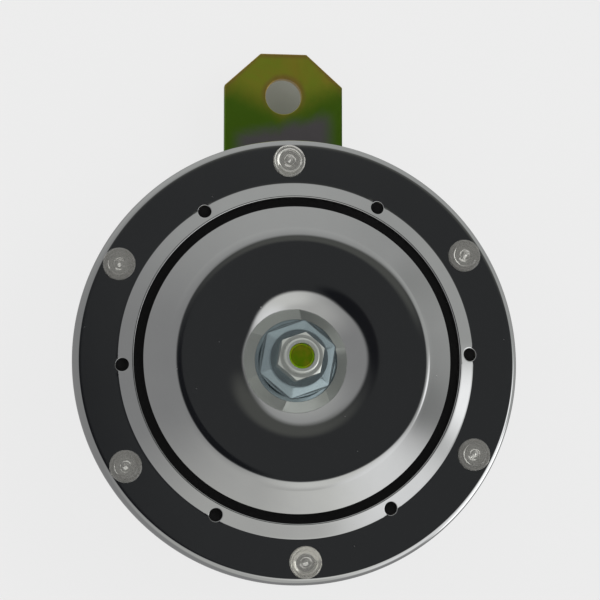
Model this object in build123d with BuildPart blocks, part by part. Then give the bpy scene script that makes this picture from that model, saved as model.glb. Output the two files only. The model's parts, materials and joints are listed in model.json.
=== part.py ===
from build123d import *
import math
import os

os.makedirs("parts", exist_ok=True)

# An electric disc horn for a vehicle, in millimetres, +Z up. It faces -Y and hangs under
# the hole of its mounting strap, where the origin is. Heights are measured forward from
# the flat face of the front ring, so everything behind that face has a negative height.

# ---- Driving dimensions -------------------------------------------------------------

# Mounting strap, a chamfered flat of steel
strap_thickness = 2.5
strap_width = 29.5
strap_hole_diameter = 9.0
strap_hole_above_ring = 16.4
strap_top_above_hole = 10.8
strap_foot_below_axis = 15.0
strap_chamfer_across = 9.0
strap_chamfer_along = 8.2

# Front ring, pressed and chromed
ring_diameter = 105.0
ring_sheet = 0.7
ring_rim_radius = 1.8
ring_crimp_radius = 0.9
ring_crimp_width = 2.2
ring_flat_width = 10.6
ring_slope_width = 3.2
ring_bend_radius = 0.6
ring_slope = 25.0
ring_crest_radius = 1.0
ring_wall_depth = 0.9
ring_hole_diameter = 3.0
ring_hole_past_bend = 0.9
ring_hole_count = 6

# Clear push rivets that pin the ring, gaskets, diaphragm and housing together
pattern_clocking = 2.34
rivet_rim_distance = 5.25
rivet_count = 6
rivet_shank_diameter = 4.0
rivet_head_diameter = 7.6
rivet_head_edge = 0.55
rivet_head_height = 0.95
rivet_step_diameter = 5.8
rivet_step_height = 1.45
rivet_wall = 0.65
rivet_tail_length = 3.4
rivet_tail_swell = 0.5
rivet_tail_taper = 1.0
rivet_pin_height = 1.6
rivet_dimple_diameter = 1.4
rivet_dimple_depth = 0.35

# Diaphragm and its gaskets
gasket_thickness = 0.5
gasket_width = 7.4
gasket_rim_gap = 2.0
diaphragm_thickness = 0.4
diaphragm_rim_gap = 1.5
diaphragm_flat_width = 8.0
diaphragm_drop = 3.0
diaphragm_centre_diameter = 26.0
diaphragm_bend_radius = 2.0

# Housing, a stepped steel cup
cup_sheet = 1.2
cup_depth = 22.4
cup_rim_gap = 0.3
cup_flange_width = 11.3
cup_ledge_depth = 11.9
cup_ledge_width = 8.5
cup_draft = 1.0
cup_inner_bend = 1.6
cup_ledge_corner = 1.6
cup_floor_corner = 3.0

# Moving stack on the diaphragm
stud_diameter = 6.0
stud_below_nut_top = 0.8
stud_end_chamfer = 0.4
stud_in_armature = 4.2
spacer_diameter = 18.0
spacer_thickness = 2.7
rear_washer_diameter = 24.0
rear_washer_thickness = 1.2
armature_height = 5.0
armature_flange_width = 4.0
armature_flange_thickness = 1.5
armature_gap = 1.0
tone_gap = 2.6
tone_sheet = 1.2
tone_crest_height = 4.7
tone_edge_drop = 2.7
tone_slope_width = 7.4
tone_dish_diameter = 28.4
tone_dish_angle = 37.0
tone_outer_radius = 9.0
tone_rim_radius = 17.0
tone_floor_radius = 1.5
clamp_nut_flats = 16.8
clamp_nut_corner_cut = 0.3
clamp_nut_taper_width = 1.4
clamp_nut_side = 1.6
clamp_nut_height = 2.6
clamp_nut_seat_margin = 0.1
nut_clocking = 19.5
plain_washer_diameter = 13.8
plain_washer_thickness = 1.2
lock_nut_flats = 10.0
lock_nut_hex_height = 4.8
lock_nut_height = 6.2
lock_nut_collar_diameter = 8.4
lock_nut_collar_lip = 0.7
lock_nut_insert_height = 1.5
lock_nut_collar_wall = 0.5

# Electromagnet
core_diameter = 16.0
core_collar_diameter = 24.0
core_collar_thickness = 1.5
core_shank_diameter = 8.0
core_shank_past_nut = 2.0
bobbin_below_arm = 1.1
bobbin_well_distance = 14.0
bobbin_wall = 1.0
coil_fill = 0.9

# Rear fastening
core_nut_flats = 13.0
core_nut_height = 4.0
spring_washer_diameter = 14.8
spring_washer_thickness = 2.0
spring_washer_split = 1.4
spring_washer_slant = 20.0
strap_nut_flats = 13.0
strap_nut_height = 6.5

# Contact breaker on the housing ledge
breaker_wall_distance = 4.7
breaker_rivet_spread = 7.0
breaker_rivet_diameter = 2.4
breaker_rivet_head = 4.4
breaker_rivet_head_height = 0.9
breaker_base_length = 5.2
breaker_base_width = 13.0
breaker_insulator_thickness = 1.5
breaker_spacer_thickness = 2.0
breaker_cap_thickness = 0.8
breaker_tab_length = 3.4
breaker_tab_width = 3.2
breaker_arm_thickness = 0.4
breaker_arm_width = 8.4
breaker_plate_thickness = 0.8
breaker_plate_overhang = 2.6
contact_diameter = 2.8
pusher_edge_distance = 1.3
pusher_adjuster_distance = 6.8
pusher_diameter = 2.4
pusher_gap = 0.3
arm_tip_margin = 1.4

# Adjusting screw through the housing floor
adjuster_bobbin_distance = 4.5
adjuster_diameter = 3.0
adjuster_behind_nut = 1.8
adjuster_slot_width = 0.8
adjuster_slot_depth = 0.8
adjuster_slot_turn = 25.0
adjuster_pad_thickness = 1.0
adjuster_nut_flats = 5.5
adjuster_nut_height = 2.2
adjuster_arm_clearance = 1.2

# Terminals on the rear of the ledge
terminal_wall_distance = 4.9
terminal_block_width = 25.0
terminal_block_gap = 0.8
terminal_block_overhang = 5.0
terminal_block_thickness = 4.0
terminal_fences = 3
terminal_fence_height = 3.2
terminal_fence_thickness = 1.6
terminal_blade_width = 6.3
terminal_blade_thickness = 0.8
terminal_blade_length = 9.9
terminal_blade_hole = 1.7
terminal_blade_hole_inset = 3.6
terminal_blade_chamfer = 1.0
terminal_rivet_diameter = 2.6
terminal_rivet_head = 4.6
terminal_rivet_head_height = 0.8
terminal_bush_gap = 0.5
terminal_washer_diameter = 5.2
terminal_washer_thickness = 1.0

# Lead wires inside the housing
lead_diameter = 1.0
lead_bend = 1.5
lead_pin_angle = 30.0

# Hexagon nuts
nut_sides = 6
nut_bevel = 30.0

# Fits
thread_clearance = 0.05
hole_clearance = 0.1
rivet_clearance = 0.1

# ---- Heights worked out from the stack ------------------------------------------------

front_gasket_front = -ring_sheet
diaphragm_front = front_gasket_front - gasket_thickness
rear_gasket_front = diaphragm_front - diaphragm_thickness
flange_front = rear_gasket_front - gasket_thickness
flange_back = flange_front - cup_sheet
crimp_back = flange_back - ring_sheet
ledge_front = flange_front - cup_ledge_depth
ledge_back = ledge_front - cup_sheet
floor_back = flange_front - cup_depth
floor_front = floor_back + cup_sheet
strap_front = floor_back - core_nut_height
strap_back = strap_front - strap_thickness
spring_washer_back = strap_back - spring_washer_thickness
strap_nut_back = spring_washer_back - strap_nut_height

centre_front = diaphragm_front - diaphragm_drop
centre_back = centre_front - diaphragm_thickness
armature_front = centre_back - rear_washer_thickness
armature_back = armature_front - armature_height
pole_front = armature_back - armature_gap
tone_floor_back = centre_front + spacer_thickness
tone_floor_front = tone_floor_back + tone_sheet
tone_crest_front = tone_floor_front + tone_crest_height
clamp_nut_front = tone_floor_front + clamp_nut_height
plain_washer_front = clamp_nut_front + plain_washer_thickness
lock_nut_front = plain_washer_front + lock_nut_height
stud_front = lock_nut_front - stud_below_nut_top
stud_back = armature_front - stud_in_armature

arm_back = ledge_front + breaker_insulator_thickness
arm_front = arm_back + breaker_arm_thickness
plate_back = arm_front + breaker_spacer_thickness
plate_front = plate_back + breaker_plate_thickness
cap_front = plate_front + breaker_cap_thickness
contact_face = (arm_front + plate_back) / 2

# ---- Radii, places and planes -----------------------------------------------------------

ring_radius = ring_diameter / 2
ring_bend = ring_radius - ring_flat_width
ring_opening = ring_bend - ring_slope_width
ring_hole_circle = 2 * (ring_bend - ring_hole_past_bend)
rivet_circle = 2 * (ring_radius - rivet_rim_distance)
flange_radius = ring_radius - ring_sheet
cup_mouth = flange_radius - cup_flange_width
cup_ledge = cup_mouth - cup_draft
cup_well = cup_ledge - cup_ledge_width
tone_radius = ring_opening - tone_gap
dish_slope = math.tan(math.radians(tone_dish_angle))
tone_floor = tone_dish_diameter / 2 - tone_crest_height / dish_slope
tone_floor_flat = tone_floor - tone_floor_radius * math.tan(math.radians(tone_dish_angle / 2))
clamp_nut_corner = clamp_nut_flats / 2 / math.cos(math.pi / nut_sides) - clamp_nut_corner_cut
clamp_nut_seat = tone_floor_flat - clamp_nut_seat_margin
clamp_nut_seat_rise = (clamp_nut_corner - clamp_nut_seat) * dish_slope
lock_nut_insert_radius = lock_nut_collar_diameter / 2 - lock_nut_collar_wall
stud_bore = stud_diameter / 2 + thread_clearance
stud_hole = stud_diameter / 2 + hole_clearance
shank_hole = core_shank_diameter / 2 + hole_clearance
breaker_rivet_radius = cup_ledge - breaker_wall_distance
breaker_inner = breaker_rivet_radius - breaker_base_length / 2
breaker_outer = breaker_rivet_radius + breaker_base_length / 2
bobbin_radius = cup_well - bobbin_well_distance
adjuster_radius = bobbin_radius + adjuster_bobbin_distance
contact_radius = (adjuster_radius + adjuster_diameter / 2 + breaker_inner) / 2
pusher_radius = adjuster_radius - pusher_adjuster_distance
armature_flange = pusher_radius + pusher_edge_distance
armature_radius = armature_flange - armature_flange_width
terminal_spread = (terminal_block_width - terminal_fence_thickness) / (terminal_fences - 1)
terminal_rivet_radius = cup_ledge - terminal_wall_distance
rivet_hole = rivet_shank_diameter / 2 + rivet_clearance

face_y = strap_front - strap_thickness / 2
strap_hole_above_axis = ring_radius + strap_hole_above_ring
axis_z = -strap_hole_above_axis
horn_axis = Axis((0, face_y, axis_z), (0, -1, 0))


def across(height, beside=0):
    """Plane across the horn axis that faces forward, at a height before the ring's face."""
    return Plane(origin=(beside, face_y - height, axis_z), x_dir=(1, 0, 0), z_dir=(0, -1, 0))


def lengthwise(beside=0):
    """Plane along an axis beside the horn's own: x is the radius from it, y the height."""
    return Plane(origin=(beside, face_y, axis_z), x_dir=(1, 0, 0), z_dir=(0, 0, -1))


def on_circle(diameter, angle):
    """Point of the ring's face plane on a circle about the horn axis."""
    turn = math.radians(angle)
    reach = diameter / 2
    return (reach * math.cos(turn), face_y, axis_z + reach * math.sin(turn))


def hexagon_nut(back, front, flats, bore, clocking=0, beside=0):
    """Hexagon nut between two heights, its corners turned off at thirty degrees at both ends."""
    bevel = math.radians(nut_bevel)
    corner = flats / 2 / math.cos(math.pi / nut_sides)
    shoulder = (corner - flats / 2) * math.tan(bevel)
    with BuildPart() as nut:
        with BuildSketch(across(back, beside)):
            RegularPolygon(flats / 2, nut_sides, major_radius=False, rotation=clocking)
            Circle(bore, mode=Mode.SUBTRACT)
        extrude(amount=front - back)
        with BuildSketch(lengthwise(beside)):
            with BuildLine():
                Polyline(
                    (0, back),
                    (flats / 2, back),
                    (corner, back + shoulder),
                    (corner, front - shoulder),
                    (flats / 2, front),
                    (0, front),
                    close=True,
                )
            make_face()
        revolve(axis=Axis((beside, face_y, axis_z), (0, -1, 0)), mode=Mode.INTERSECT)
    return nut.part


section = lengthwise()
rivet_step = 360 / rivet_count
rivet_angles = [pattern_clocking + rivet_step * (place + 1 / 2) for place in range(rivet_count)]

# ---- Front ring: flat face, rolled inner crest, rim crimped behind the housing flange ----

ring_corner_height = (ring_bend - ring_opening) * math.tan(math.radians(ring_slope))
with BuildPart() as front_ring:
    with BuildSketch(section):
        with BuildLine():
            FilletPolyline(
                (ring_radius - ring_crimp_width, crimp_back),
                (ring_radius, crimp_back),
                (ring_radius, 0),
                (ring_bend, 0),
                (ring_opening, ring_corner_height),
                (ring_opening, -ring_wall_depth),
                radius=[ring_crimp_radius, ring_rim_radius, ring_bend_radius, ring_crest_radius],
            )
            offset(amount=ring_sheet, side=Side.LEFT)
        make_face()
    revolve(axis=horn_axis)
    with BuildSketch(across(ring_corner_height)):
        with PolarLocations(ring_hole_circle / 2, ring_hole_count, start_angle=pattern_clocking):
            Circle(ring_hole_diameter / 2)
    extrude(amount=crimp_back, mode=Mode.SUBTRACT)
    with BuildSketch(across(0)):
        with PolarLocations(rivet_circle / 2, rivet_count, start_angle=rivet_angles[0]):
            Circle(rivet_hole)
    extrude(amount=flange_back, mode=Mode.SUBTRACT)
front_ring.part.label = "front_ring"
export_step(front_ring.part, "parts/front_ring.step")

# ---- Clear push rivets: a hollow shell with a stepped head, and the pin driven into it ----

pin_radius = rivet_shank_diameter / 2 - rivet_wall
with BuildPart() as rivet_shells:
    for angle in rivet_angles:
        centre = on_circle(rivet_circle, angle)
        with BuildSketch(Plane(origin=centre, x_dir=(1, 0, 0), z_dir=(0, 0, -1))):
            with BuildLine():
                Polyline(
                    (pin_radius, rivet_step_height),
                    (rivet_step_diameter / 2 - rivet_step_height + rivet_head_height, rivet_step_height),
                    (rivet_step_diameter / 2, rivet_head_height),
                    (rivet_head_diameter / 2 - rivet_head_height + rivet_head_edge, rivet_head_height),
                    (rivet_head_diameter / 2, rivet_head_edge),
                    (rivet_head_diameter / 2, 0),
                    (rivet_shank_diameter / 2, 0),
                    (rivet_shank_diameter / 2, flange_back),
                    (rivet_shank_diameter / 2 + rivet_tail_swell, flange_back - rivet_tail_swell),
                    (rivet_shank_diameter / 2 + rivet_tail_swell, flange_back - 2 * rivet_tail_swell),
                    (rivet_shank_diameter / 2, flange_back - rivet_tail_length),
                    (pin_radius, flange_back - rivet_tail_length),
                    close=True,
                )
            make_face()
        revolve(axis=Axis(centre, (0, -1, 0)))
rivet_shells.part.label = "rivet_shells"
export_step(rivet_shells.part, "parts/rivet_shells.step")

with BuildPart() as rivet_pins:
    for angle in rivet_angles:
        centre = on_circle(rivet_circle, angle)
        with BuildSketch(Plane(origin=centre, x_dir=(1, 0, 0), z_dir=(0, 0, -1))):
            with BuildLine():
                Polyline(
                    (0, rivet_pin_height - rivet_dimple_depth),
                    (rivet_dimple_diameter / 2, rivet_pin_height),
                    (pin_radius - thread_clearance, rivet_pin_height),
                    (pin_radius - thread_clearance, flange_back - rivet_tail_length),
                    (0, flange_back - rivet_tail_length - rivet_tail_taper),
                    close=True,
                )
            make_face()
        revolve(axis=Axis(centre, (0, -1, 0)))
rivet_pins.part.label = "rivet_pins"
export_step(rivet_pins.part, "parts/rivet_pins.step")

# ---- Gaskets either side of the diaphragm's rim ----

gasket_outer = flange_radius - gasket_rim_gap
with BuildPart() as front_gasket:
    with BuildSketch(across(diaphragm_front)):
        Circle(gasket_outer)
        Circle(gasket_outer - gasket_width, mode=Mode.SUBTRACT)
        with PolarLocations(rivet_circle / 2, rivet_count, start_angle=rivet_angles[0]):
            Circle(rivet_hole, mode=Mode.SUBTRACT)
    extrude(amount=gasket_thickness)
front_gasket.part.label = "front_gasket"
export_step(front_gasket.part, "parts/front_gasket.step")

with BuildPart() as rear_gasket:
    with BuildSketch(across(flange_front)):
        Circle(gasket_outer)
        Circle(gasket_outer - gasket_width, mode=Mode.SUBTRACT)
        with PolarLocations(rivet_circle / 2, rivet_count, start_angle=rivet_angles[0]):
            Circle(rivet_hole, mode=Mode.SUBTRACT)
    extrude(amount=gasket_thickness)
rear_gasket.part.label = "rear_gasket"
export_step(rear_gasket.part, "parts/rear_gasket.step")

# ---- Diaphragm: a thin spring-steel disc, coned back to a flat centre ----

diaphragm_radius = flange_radius - diaphragm_rim_gap
with BuildPart() as diaphragm:
    with BuildSketch(section):
        with BuildLine():
            FilletPolyline(
                (diaphragm_radius, diaphragm_front),
                (diaphragm_radius - diaphragm_flat_width, diaphragm_front),
                (diaphragm_centre_diameter / 2, centre_front),
                (stud_hole, centre_front),
                radius=diaphragm_bend_radius,
            )
            offset(amount=diaphragm_thickness, side=Side.LEFT)
        make_face()
    revolve(axis=horn_axis)
    with BuildSketch(across(0)):
        with PolarLocations(rivet_circle / 2, rivet_count, start_angle=rivet_angles[0]):
            Circle(rivet_hole)
    extrude(amount=flange_back, mode=Mode.SUBTRACT)
diaphragm.part.label = "diaphragm"
export_step(diaphragm.part, "parts/diaphragm.step")

# ---- Housing: a stepped cup with a ledge for the breaker and a well for the coil ----

with BuildPart() as housing_cup:
    with BuildSketch(section):
        with BuildLine():
            FilletPolyline(
                (flange_radius - cup_rim_gap, flange_front),
                (cup_mouth, flange_front),
                (cup_ledge, ledge_front),
                (cup_well, ledge_front),
                (cup_well - cup_draft, floor_front),
                (shank_hole, floor_front),
                radius=[cup_inner_bend, cup_ledge_corner, cup_inner_bend, cup_floor_corner],
            )
            offset(amount=cup_sheet, side=Side.LEFT)
        make_face()
    revolve(axis=horn_axis)
    with BuildSketch(across(0)):
        with PolarLocations(rivet_circle / 2, rivet_count, start_angle=rivet_angles[0]):
            Circle(rivet_hole)
    extrude(amount=crimp_back, mode=Mode.SUBTRACT)
    with BuildSketch(across(0)):
        with Locations((adjuster_radius, 0)):
            Circle(adjuster_diameter / 2 + hole_clearance)
        with Locations(
            (breaker_rivet_radius, breaker_rivet_spread / 2),
            (breaker_rivet_radius, -breaker_rivet_spread / 2),
        ):
            Circle(breaker_rivet_diameter / 2 + hole_clearance)
        with Locations(
            (terminal_spread / 2, -terminal_rivet_radius),
            (-terminal_spread / 2, -terminal_rivet_radius),
        ):
            Circle(terminal_rivet_diameter / 2 + terminal_bush_gap)
    extrude(amount=strap_front, mode=Mode.SUBTRACT)
housing_cup.part.label = "housing_cup"
export_step(housing_cup.part, "parts/housing_cup.step")

# ---- Moving stack: spacer, tone disc and nuts in front of the diaphragm ----

with BuildPart() as front_spacer:
    with BuildSketch(across(centre_front)):
        Circle(spacer_diameter / 2)
        Circle(stud_hole, mode=Mode.SUBTRACT)
    extrude(amount=spacer_thickness)
front_spacer.part.label = "front_spacer"
export_step(front_spacer.part, "parts/front_spacer.step")

with BuildPart() as tone_disc:
    with BuildSketch(section):
        with BuildLine():
            FilletPolyline(
                (tone_radius, tone_crest_front - tone_edge_drop),
                (tone_radius - tone_slope_width, tone_crest_front),
                (tone_dish_diameter / 2, tone_crest_front),
                (tone_floor, tone_floor_front),
                (stud_hole, tone_floor_front),
                radius=[tone_outer_radius, tone_rim_radius, tone_floor_radius],
            )
            offset(amount=tone_sheet, side=Side.LEFT)
        make_face()
    revolve(axis=horn_axis)
tone_disc.part.label = "tone_disc"
export_step(tone_disc.part, "parts/tone_disc.step")

nut_taper = math.degrees(math.atan2(clamp_nut_taper_width, clamp_nut_height - clamp_nut_side))
with BuildPart() as clamp_nut:
    with BuildSketch(across(tone_floor_front)):
        RegularPolygon(clamp_nut_flats / 2, nut_sides, major_radius=False, rotation=nut_clocking)
    extrude(amount=clamp_nut_side)
    with BuildSketch(across(tone_floor_front + clamp_nut_side)):
        RegularPolygon(clamp_nut_flats / 2, nut_sides, major_radius=False, rotation=nut_clocking)
    extrude(amount=clamp_nut_height - clamp_nut_side, taper=nut_taper)
    with BuildSketch(section):
        with BuildLine():
            Polyline(
                (stud_bore, tone_floor_front),
                (clamp_nut_seat, tone_floor_front),
                (clamp_nut_corner, tone_floor_front + clamp_nut_seat_rise),
                (clamp_nut_corner, clamp_nut_front),
                (stud_bore, clamp_nut_front),
                close=True,
            )
        make_face()
    revolve(axis=horn_axis, mode=Mode.INTERSECT)
clamp_nut.part.label = "clamp_nut"
export_step(clamp_nut.part, "parts/clamp_nut.step")

with BuildPart() as plain_washer:
    with BuildSketch(across(clamp_nut_front)):
        Circle(plain_washer_diameter / 2)
        Circle(stud_hole, mode=Mode.SUBTRACT)
    extrude(amount=plain_washer_thickness)
plain_washer.part.label = "plain_washer"
export_step(plain_washer.part, "parts/plain_washer.step")

collar_back = plain_washer_front + lock_nut_hex_height
insert_front = lock_nut_front - lock_nut_collar_lip / 2
insert_back = insert_front - lock_nut_insert_height
with BuildPart() as lock_nut:
    add(
        hexagon_nut(
            plain_washer_front,
            collar_back,
            lock_nut_flats,
            stud_bore,
            nut_clocking,
        )
    )
    with BuildSketch(section):
        with BuildLine():
            FilletPolyline(
                (lock_nut_collar_diameter / 2, collar_back),
                (lock_nut_collar_diameter / 2, lock_nut_front),
                (stud_bore, lock_nut_front),
                radius=lock_nut_collar_lip,
            )
            Polyline(
                (stud_bore, lock_nut_front),
                (stud_bore, collar_back),
                (lock_nut_collar_diameter / 2, collar_back),
            )
        make_face()
    revolve(axis=horn_axis)
    with BuildSketch(across(insert_front)):
        Circle(lock_nut_insert_radius)
    extrude(amount=-lock_nut_insert_height, mode=Mode.SUBTRACT)
lock_nut.part.label = "lock_nut"
export_step(lock_nut.part, "parts/lock_nut.step")

with BuildPart() as lock_nut_insert:
    with BuildSketch(across(insert_back)):
        Circle(lock_nut_insert_radius)
        Circle(stud_bore, mode=Mode.SUBTRACT)
    extrude(amount=lock_nut_insert_height)
lock_nut_insert.part.label = "lock_nut_insert"
export_step(lock_nut_insert.part, "parts/lock_nut_insert.step")

# ---- Moving stack: stud, washer and armature behind the diaphragm ----

with BuildPart() as armature_stud:
    with BuildSketch(across(stud_back)):
        Circle(stud_diameter / 2)
    extrude(amount=stud_front - stud_back)
    chamfer(armature_stud.faces().sort_by(Axis.Y)[0].edges(), stud_end_chamfer)
armature_stud.part.label = "armature_stud"
export_step(armature_stud.part, "parts/armature_stud.step")

with BuildPart() as rear_washer:
    with BuildSketch(across(armature_front)):
        Circle(rear_washer_diameter / 2)
        Circle(stud_hole, mode=Mode.SUBTRACT)
    extrude(amount=rear_washer_thickness)
rear_washer.part.label = "rear_washer"
export_step(rear_washer.part, "parts/rear_washer.step")

with BuildPart() as armature:
    with BuildSketch(across(armature_back)):
        Circle(armature_radius)
    extrude(amount=armature_height)
    with BuildSketch(across(armature_front)):
        Circle(armature_flange)
    extrude(amount=-armature_flange_thickness)
    with BuildSketch(across(armature_front)):
        Circle(stud_bore)
    extrude(amount=-stud_in_armature, mode=Mode.SUBTRACT)
armature.part.label = "armature"
export_step(armature.part, "parts/armature.step")

# ---- Electromagnet: core and shank in one turned piece, bobbin and winding round it ----

core_collar_front = floor_front + core_collar_thickness
bobbin_front = arm_back - bobbin_below_arm
shank_back = strap_nut_back - core_shank_past_nut
with BuildPart() as pole_core:
    with BuildSketch(across(floor_front)):
        Circle(core_diameter / 2)
    extrude(amount=pole_front - floor_front)
    with BuildSketch(across(floor_front)):
        Circle(core_collar_diameter / 2)
    extrude(amount=core_collar_thickness)
    with BuildSketch(across(floor_front)):
        Circle(core_shank_diameter / 2)
    extrude(amount=shank_back - floor_front)
    chamfer(pole_core.faces().sort_by(Axis.Y)[-1].edges(), stud_end_chamfer)
pole_core.part.label = "pole_core"
export_step(pole_core.part, "parts/pole_core.step")

bobbin_hub = core_diameter / 2 + hole_clearance
with BuildPart() as coil_bobbin:
    with BuildSketch(section):
        with BuildLine():
            Polyline(
                (bobbin_hub, core_collar_front),
                (bobbin_radius, core_collar_front),
                (bobbin_radius, core_collar_front + bobbin_wall),
                (bobbin_hub + bobbin_wall, core_collar_front + bobbin_wall),
                (bobbin_hub + bobbin_wall, bobbin_front - bobbin_wall),
                (bobbin_radius, bobbin_front - bobbin_wall),
                (bobbin_radius, bobbin_front),
                (bobbin_hub, bobbin_front),
                close=True,
            )
        make_face()
    revolve(axis=horn_axis)
coil_bobbin.part.label = "coil_bobbin"
export_step(coil_bobbin.part, "parts/coil_bobbin.step")

winding_inner = bobbin_hub + bobbin_wall + hole_clearance
winding_outer = winding_inner + coil_fill * (bobbin_radius - winding_inner)
with BuildPart() as coil_winding:
    with BuildSketch(across(core_collar_front + bobbin_wall)):
        Circle(winding_outer)
        Circle(winding_inner, mode=Mode.SUBTRACT)
    extrude(amount=bobbin_front - core_collar_front - 2 * bobbin_wall)
coil_winding.part.label = "coil_winding"
export_step(coil_winding.part, "parts/coil_winding.step")

# ---- Rear fastening: core nut, strap, spring washer and strap nut on the shank ----

shank_bore = core_shank_diameter / 2 + thread_clearance
with BuildPart() as core_nut:
    add(hexagon_nut(strap_front, floor_back, core_nut_flats, shank_bore))
core_nut.part.label = "core_nut"
export_step(core_nut.part, "parts/core_nut.step")

strap_top = strap_hole_above_axis + strap_top_above_hole
strap_half = strap_width / 2
with BuildPart() as mounting_strap:
    with BuildSketch(across(strap_back)):
        with BuildLine():
            Polyline(
                (strap_half, strap_chamfer_along - strap_foot_below_axis),
                (strap_half, strap_top - strap_chamfer_along),
                (strap_half - strap_chamfer_across, strap_top),
                (strap_chamfer_across - strap_half, strap_top),
                (-strap_half, strap_top - strap_chamfer_along),
                (-strap_half, strap_chamfer_along - strap_foot_below_axis),
                (strap_chamfer_across - strap_half, -strap_foot_below_axis),
                (strap_half - strap_chamfer_across, -strap_foot_below_axis),
                close=True,
            )
        make_face()
        Circle(shank_hole, mode=Mode.SUBTRACT)
        with Locations((0, strap_hole_above_axis)):
            Circle(strap_hole_diameter / 2, mode=Mode.SUBTRACT)
    extrude(amount=strap_thickness)
mounting_strap.part.label = "mounting_strap"
export_step(mounting_strap.part, "parts/mounting_strap.step")

with BuildPart() as spring_washer:
    with BuildSketch(across(spring_washer_back)):
        Circle(spring_washer_diameter / 2)
        Circle(shank_hole, mode=Mode.SUBTRACT)
    extrude(amount=spring_washer_thickness)
    with BuildSketch(Plane.XY.offset(axis_z)):
        with Locations((0, face_y - (strap_back + spring_washer_back) / 2)):
            Rectangle(spring_washer_split, 3 * spring_washer_thickness, rotation=spring_washer_slant)
    extrude(amount=spring_washer_diameter, mode=Mode.SUBTRACT)
spring_washer.part.label = "spring_washer"
export_step(spring_washer.part, "parts/spring_washer.step")

with BuildPart() as strap_nut:
    add(hexagon_nut(strap_nut_back, spring_washer_back, strap_nut_flats, shank_bore))
strap_nut.part.label = "strap_nut"
export_step(strap_nut.part, "parts/strap_nut.step")

# ---- Contact breaker: spring arm and fixed plate stacked between insulators on the ledge ----

breaker_hole = breaker_rivet_diameter / 2 + hole_clearance
breaker_holes = [
    (breaker_rivet_radius, breaker_rivet_spread / 2),
    (breaker_rivet_radius, -breaker_rivet_spread / 2),
]
tab_middle = (breaker_base_width + breaker_tab_length) / 2

with BuildPart() as breaker_insulators:
    for back, thickness in (
        (ledge_front, breaker_insulator_thickness),
        (arm_front, breaker_spacer_thickness),
        (plate_front, breaker_cap_thickness),
    ):
        with BuildSketch(across(back)):
            with Locations((breaker_rivet_radius, 0)):
                Rectangle(breaker_base_length, breaker_base_width)
            with Locations(*breaker_holes):
                Circle(breaker_hole, mode=Mode.SUBTRACT)
        extrude(amount=thickness)
breaker_insulators.part.label = "breaker_insulators"
export_step(breaker_insulators.part, "parts/breaker_insulators.step")

arm_tip = pusher_radius - arm_tip_margin
with BuildPart() as breaker_arm:
    with BuildSketch(across(arm_back)):
        with Locations((breaker_rivet_radius, 0)):
            Rectangle(breaker_base_length, breaker_base_width)
        with Locations((breaker_rivet_radius, tab_middle)):
            Rectangle(breaker_tab_width, breaker_tab_length)
        with Locations(((arm_tip + breaker_outer) / 2, 0)):
            Rectangle(breaker_outer - arm_tip, breaker_arm_width)
        with Locations(*breaker_holes):
            Circle(breaker_hole, mode=Mode.SUBTRACT)
        with Locations((adjuster_radius, 0)):
            Circle(adjuster_diameter / 2 + adjuster_arm_clearance, mode=Mode.SUBTRACT)
    extrude(amount=breaker_arm_thickness)
breaker_arm.part.label = "breaker_arm"
export_step(breaker_arm.part, "parts/breaker_arm.step")

plate_tip = adjuster_radius - breaker_plate_overhang
with BuildPart() as breaker_plate:
    with BuildSketch(across(plate_back)):
        with Locations((breaker_rivet_radius, 0)):
            Rectangle(breaker_base_length, breaker_base_width)
        with Locations((breaker_rivet_radius, -tab_middle)):
            Rectangle(breaker_tab_width, breaker_tab_length)
        with Locations(((plate_tip + breaker_outer) / 2, 0)):
            Rectangle(breaker_outer - plate_tip, breaker_arm_width)
        with Locations(*breaker_holes):
            Circle(breaker_hole, mode=Mode.SUBTRACT)
    extrude(amount=breaker_plate_thickness)
breaker_plate.part.label = "breaker_plate"
export_step(breaker_plate.part, "parts/breaker_plate.step")

with BuildPart() as moving_contact:
    with BuildSketch(across(arm_front, contact_radius)):
        Circle(contact_diameter / 2)
    extrude(amount=contact_face - arm_front)
moving_contact.part.label = "moving_contact"
export_step(moving_contact.part, "parts/moving_contact.step")

with BuildPart() as fixed_contact:
    with BuildSketch(across(contact_face, contact_radius)):
        Circle(contact_diameter / 2)
    extrude(amount=plate_back - contact_face)
fixed_contact.part.label = "fixed_contact"
export_step(fixed_contact.part, "parts/fixed_contact.step")

flange_rear = armature_front - armature_flange_thickness
with BuildPart() as breaker_pusher:
    with BuildSketch(across(arm_front, pusher_radius)):
        Circle(pusher_diameter / 2)
    extrude(amount=flange_rear - pusher_gap - arm_front)
breaker_pusher.part.label = "breaker_pusher"
export_step(breaker_pusher.part, "parts/breaker_pusher.step")

with BuildPart() as breaker_rivets:
    with BuildSketch(across(ledge_back)):
        with Locations(*breaker_holes):
            Circle(breaker_rivet_diameter / 2)
    extrude(amount=cap_front - ledge_back)
    with BuildSketch(across(cap_front)):
        with Locations(*breaker_holes):
            Circle(breaker_rivet_head / 2)
    extrude(amount=breaker_rivet_head_height)
    with BuildSketch(across(ledge_back)):
        with Locations(*breaker_holes):
            Circle(breaker_rivet_head / 2)
    extrude(amount=-breaker_rivet_head_height)
breaker_rivets.part.label = "breaker_rivets"
export_step(breaker_rivets.part, "parts/breaker_rivets.step")

# ---- Adjusting screw: slotted stud in a weld nut, locked outside, padded at its tip ----

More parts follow.
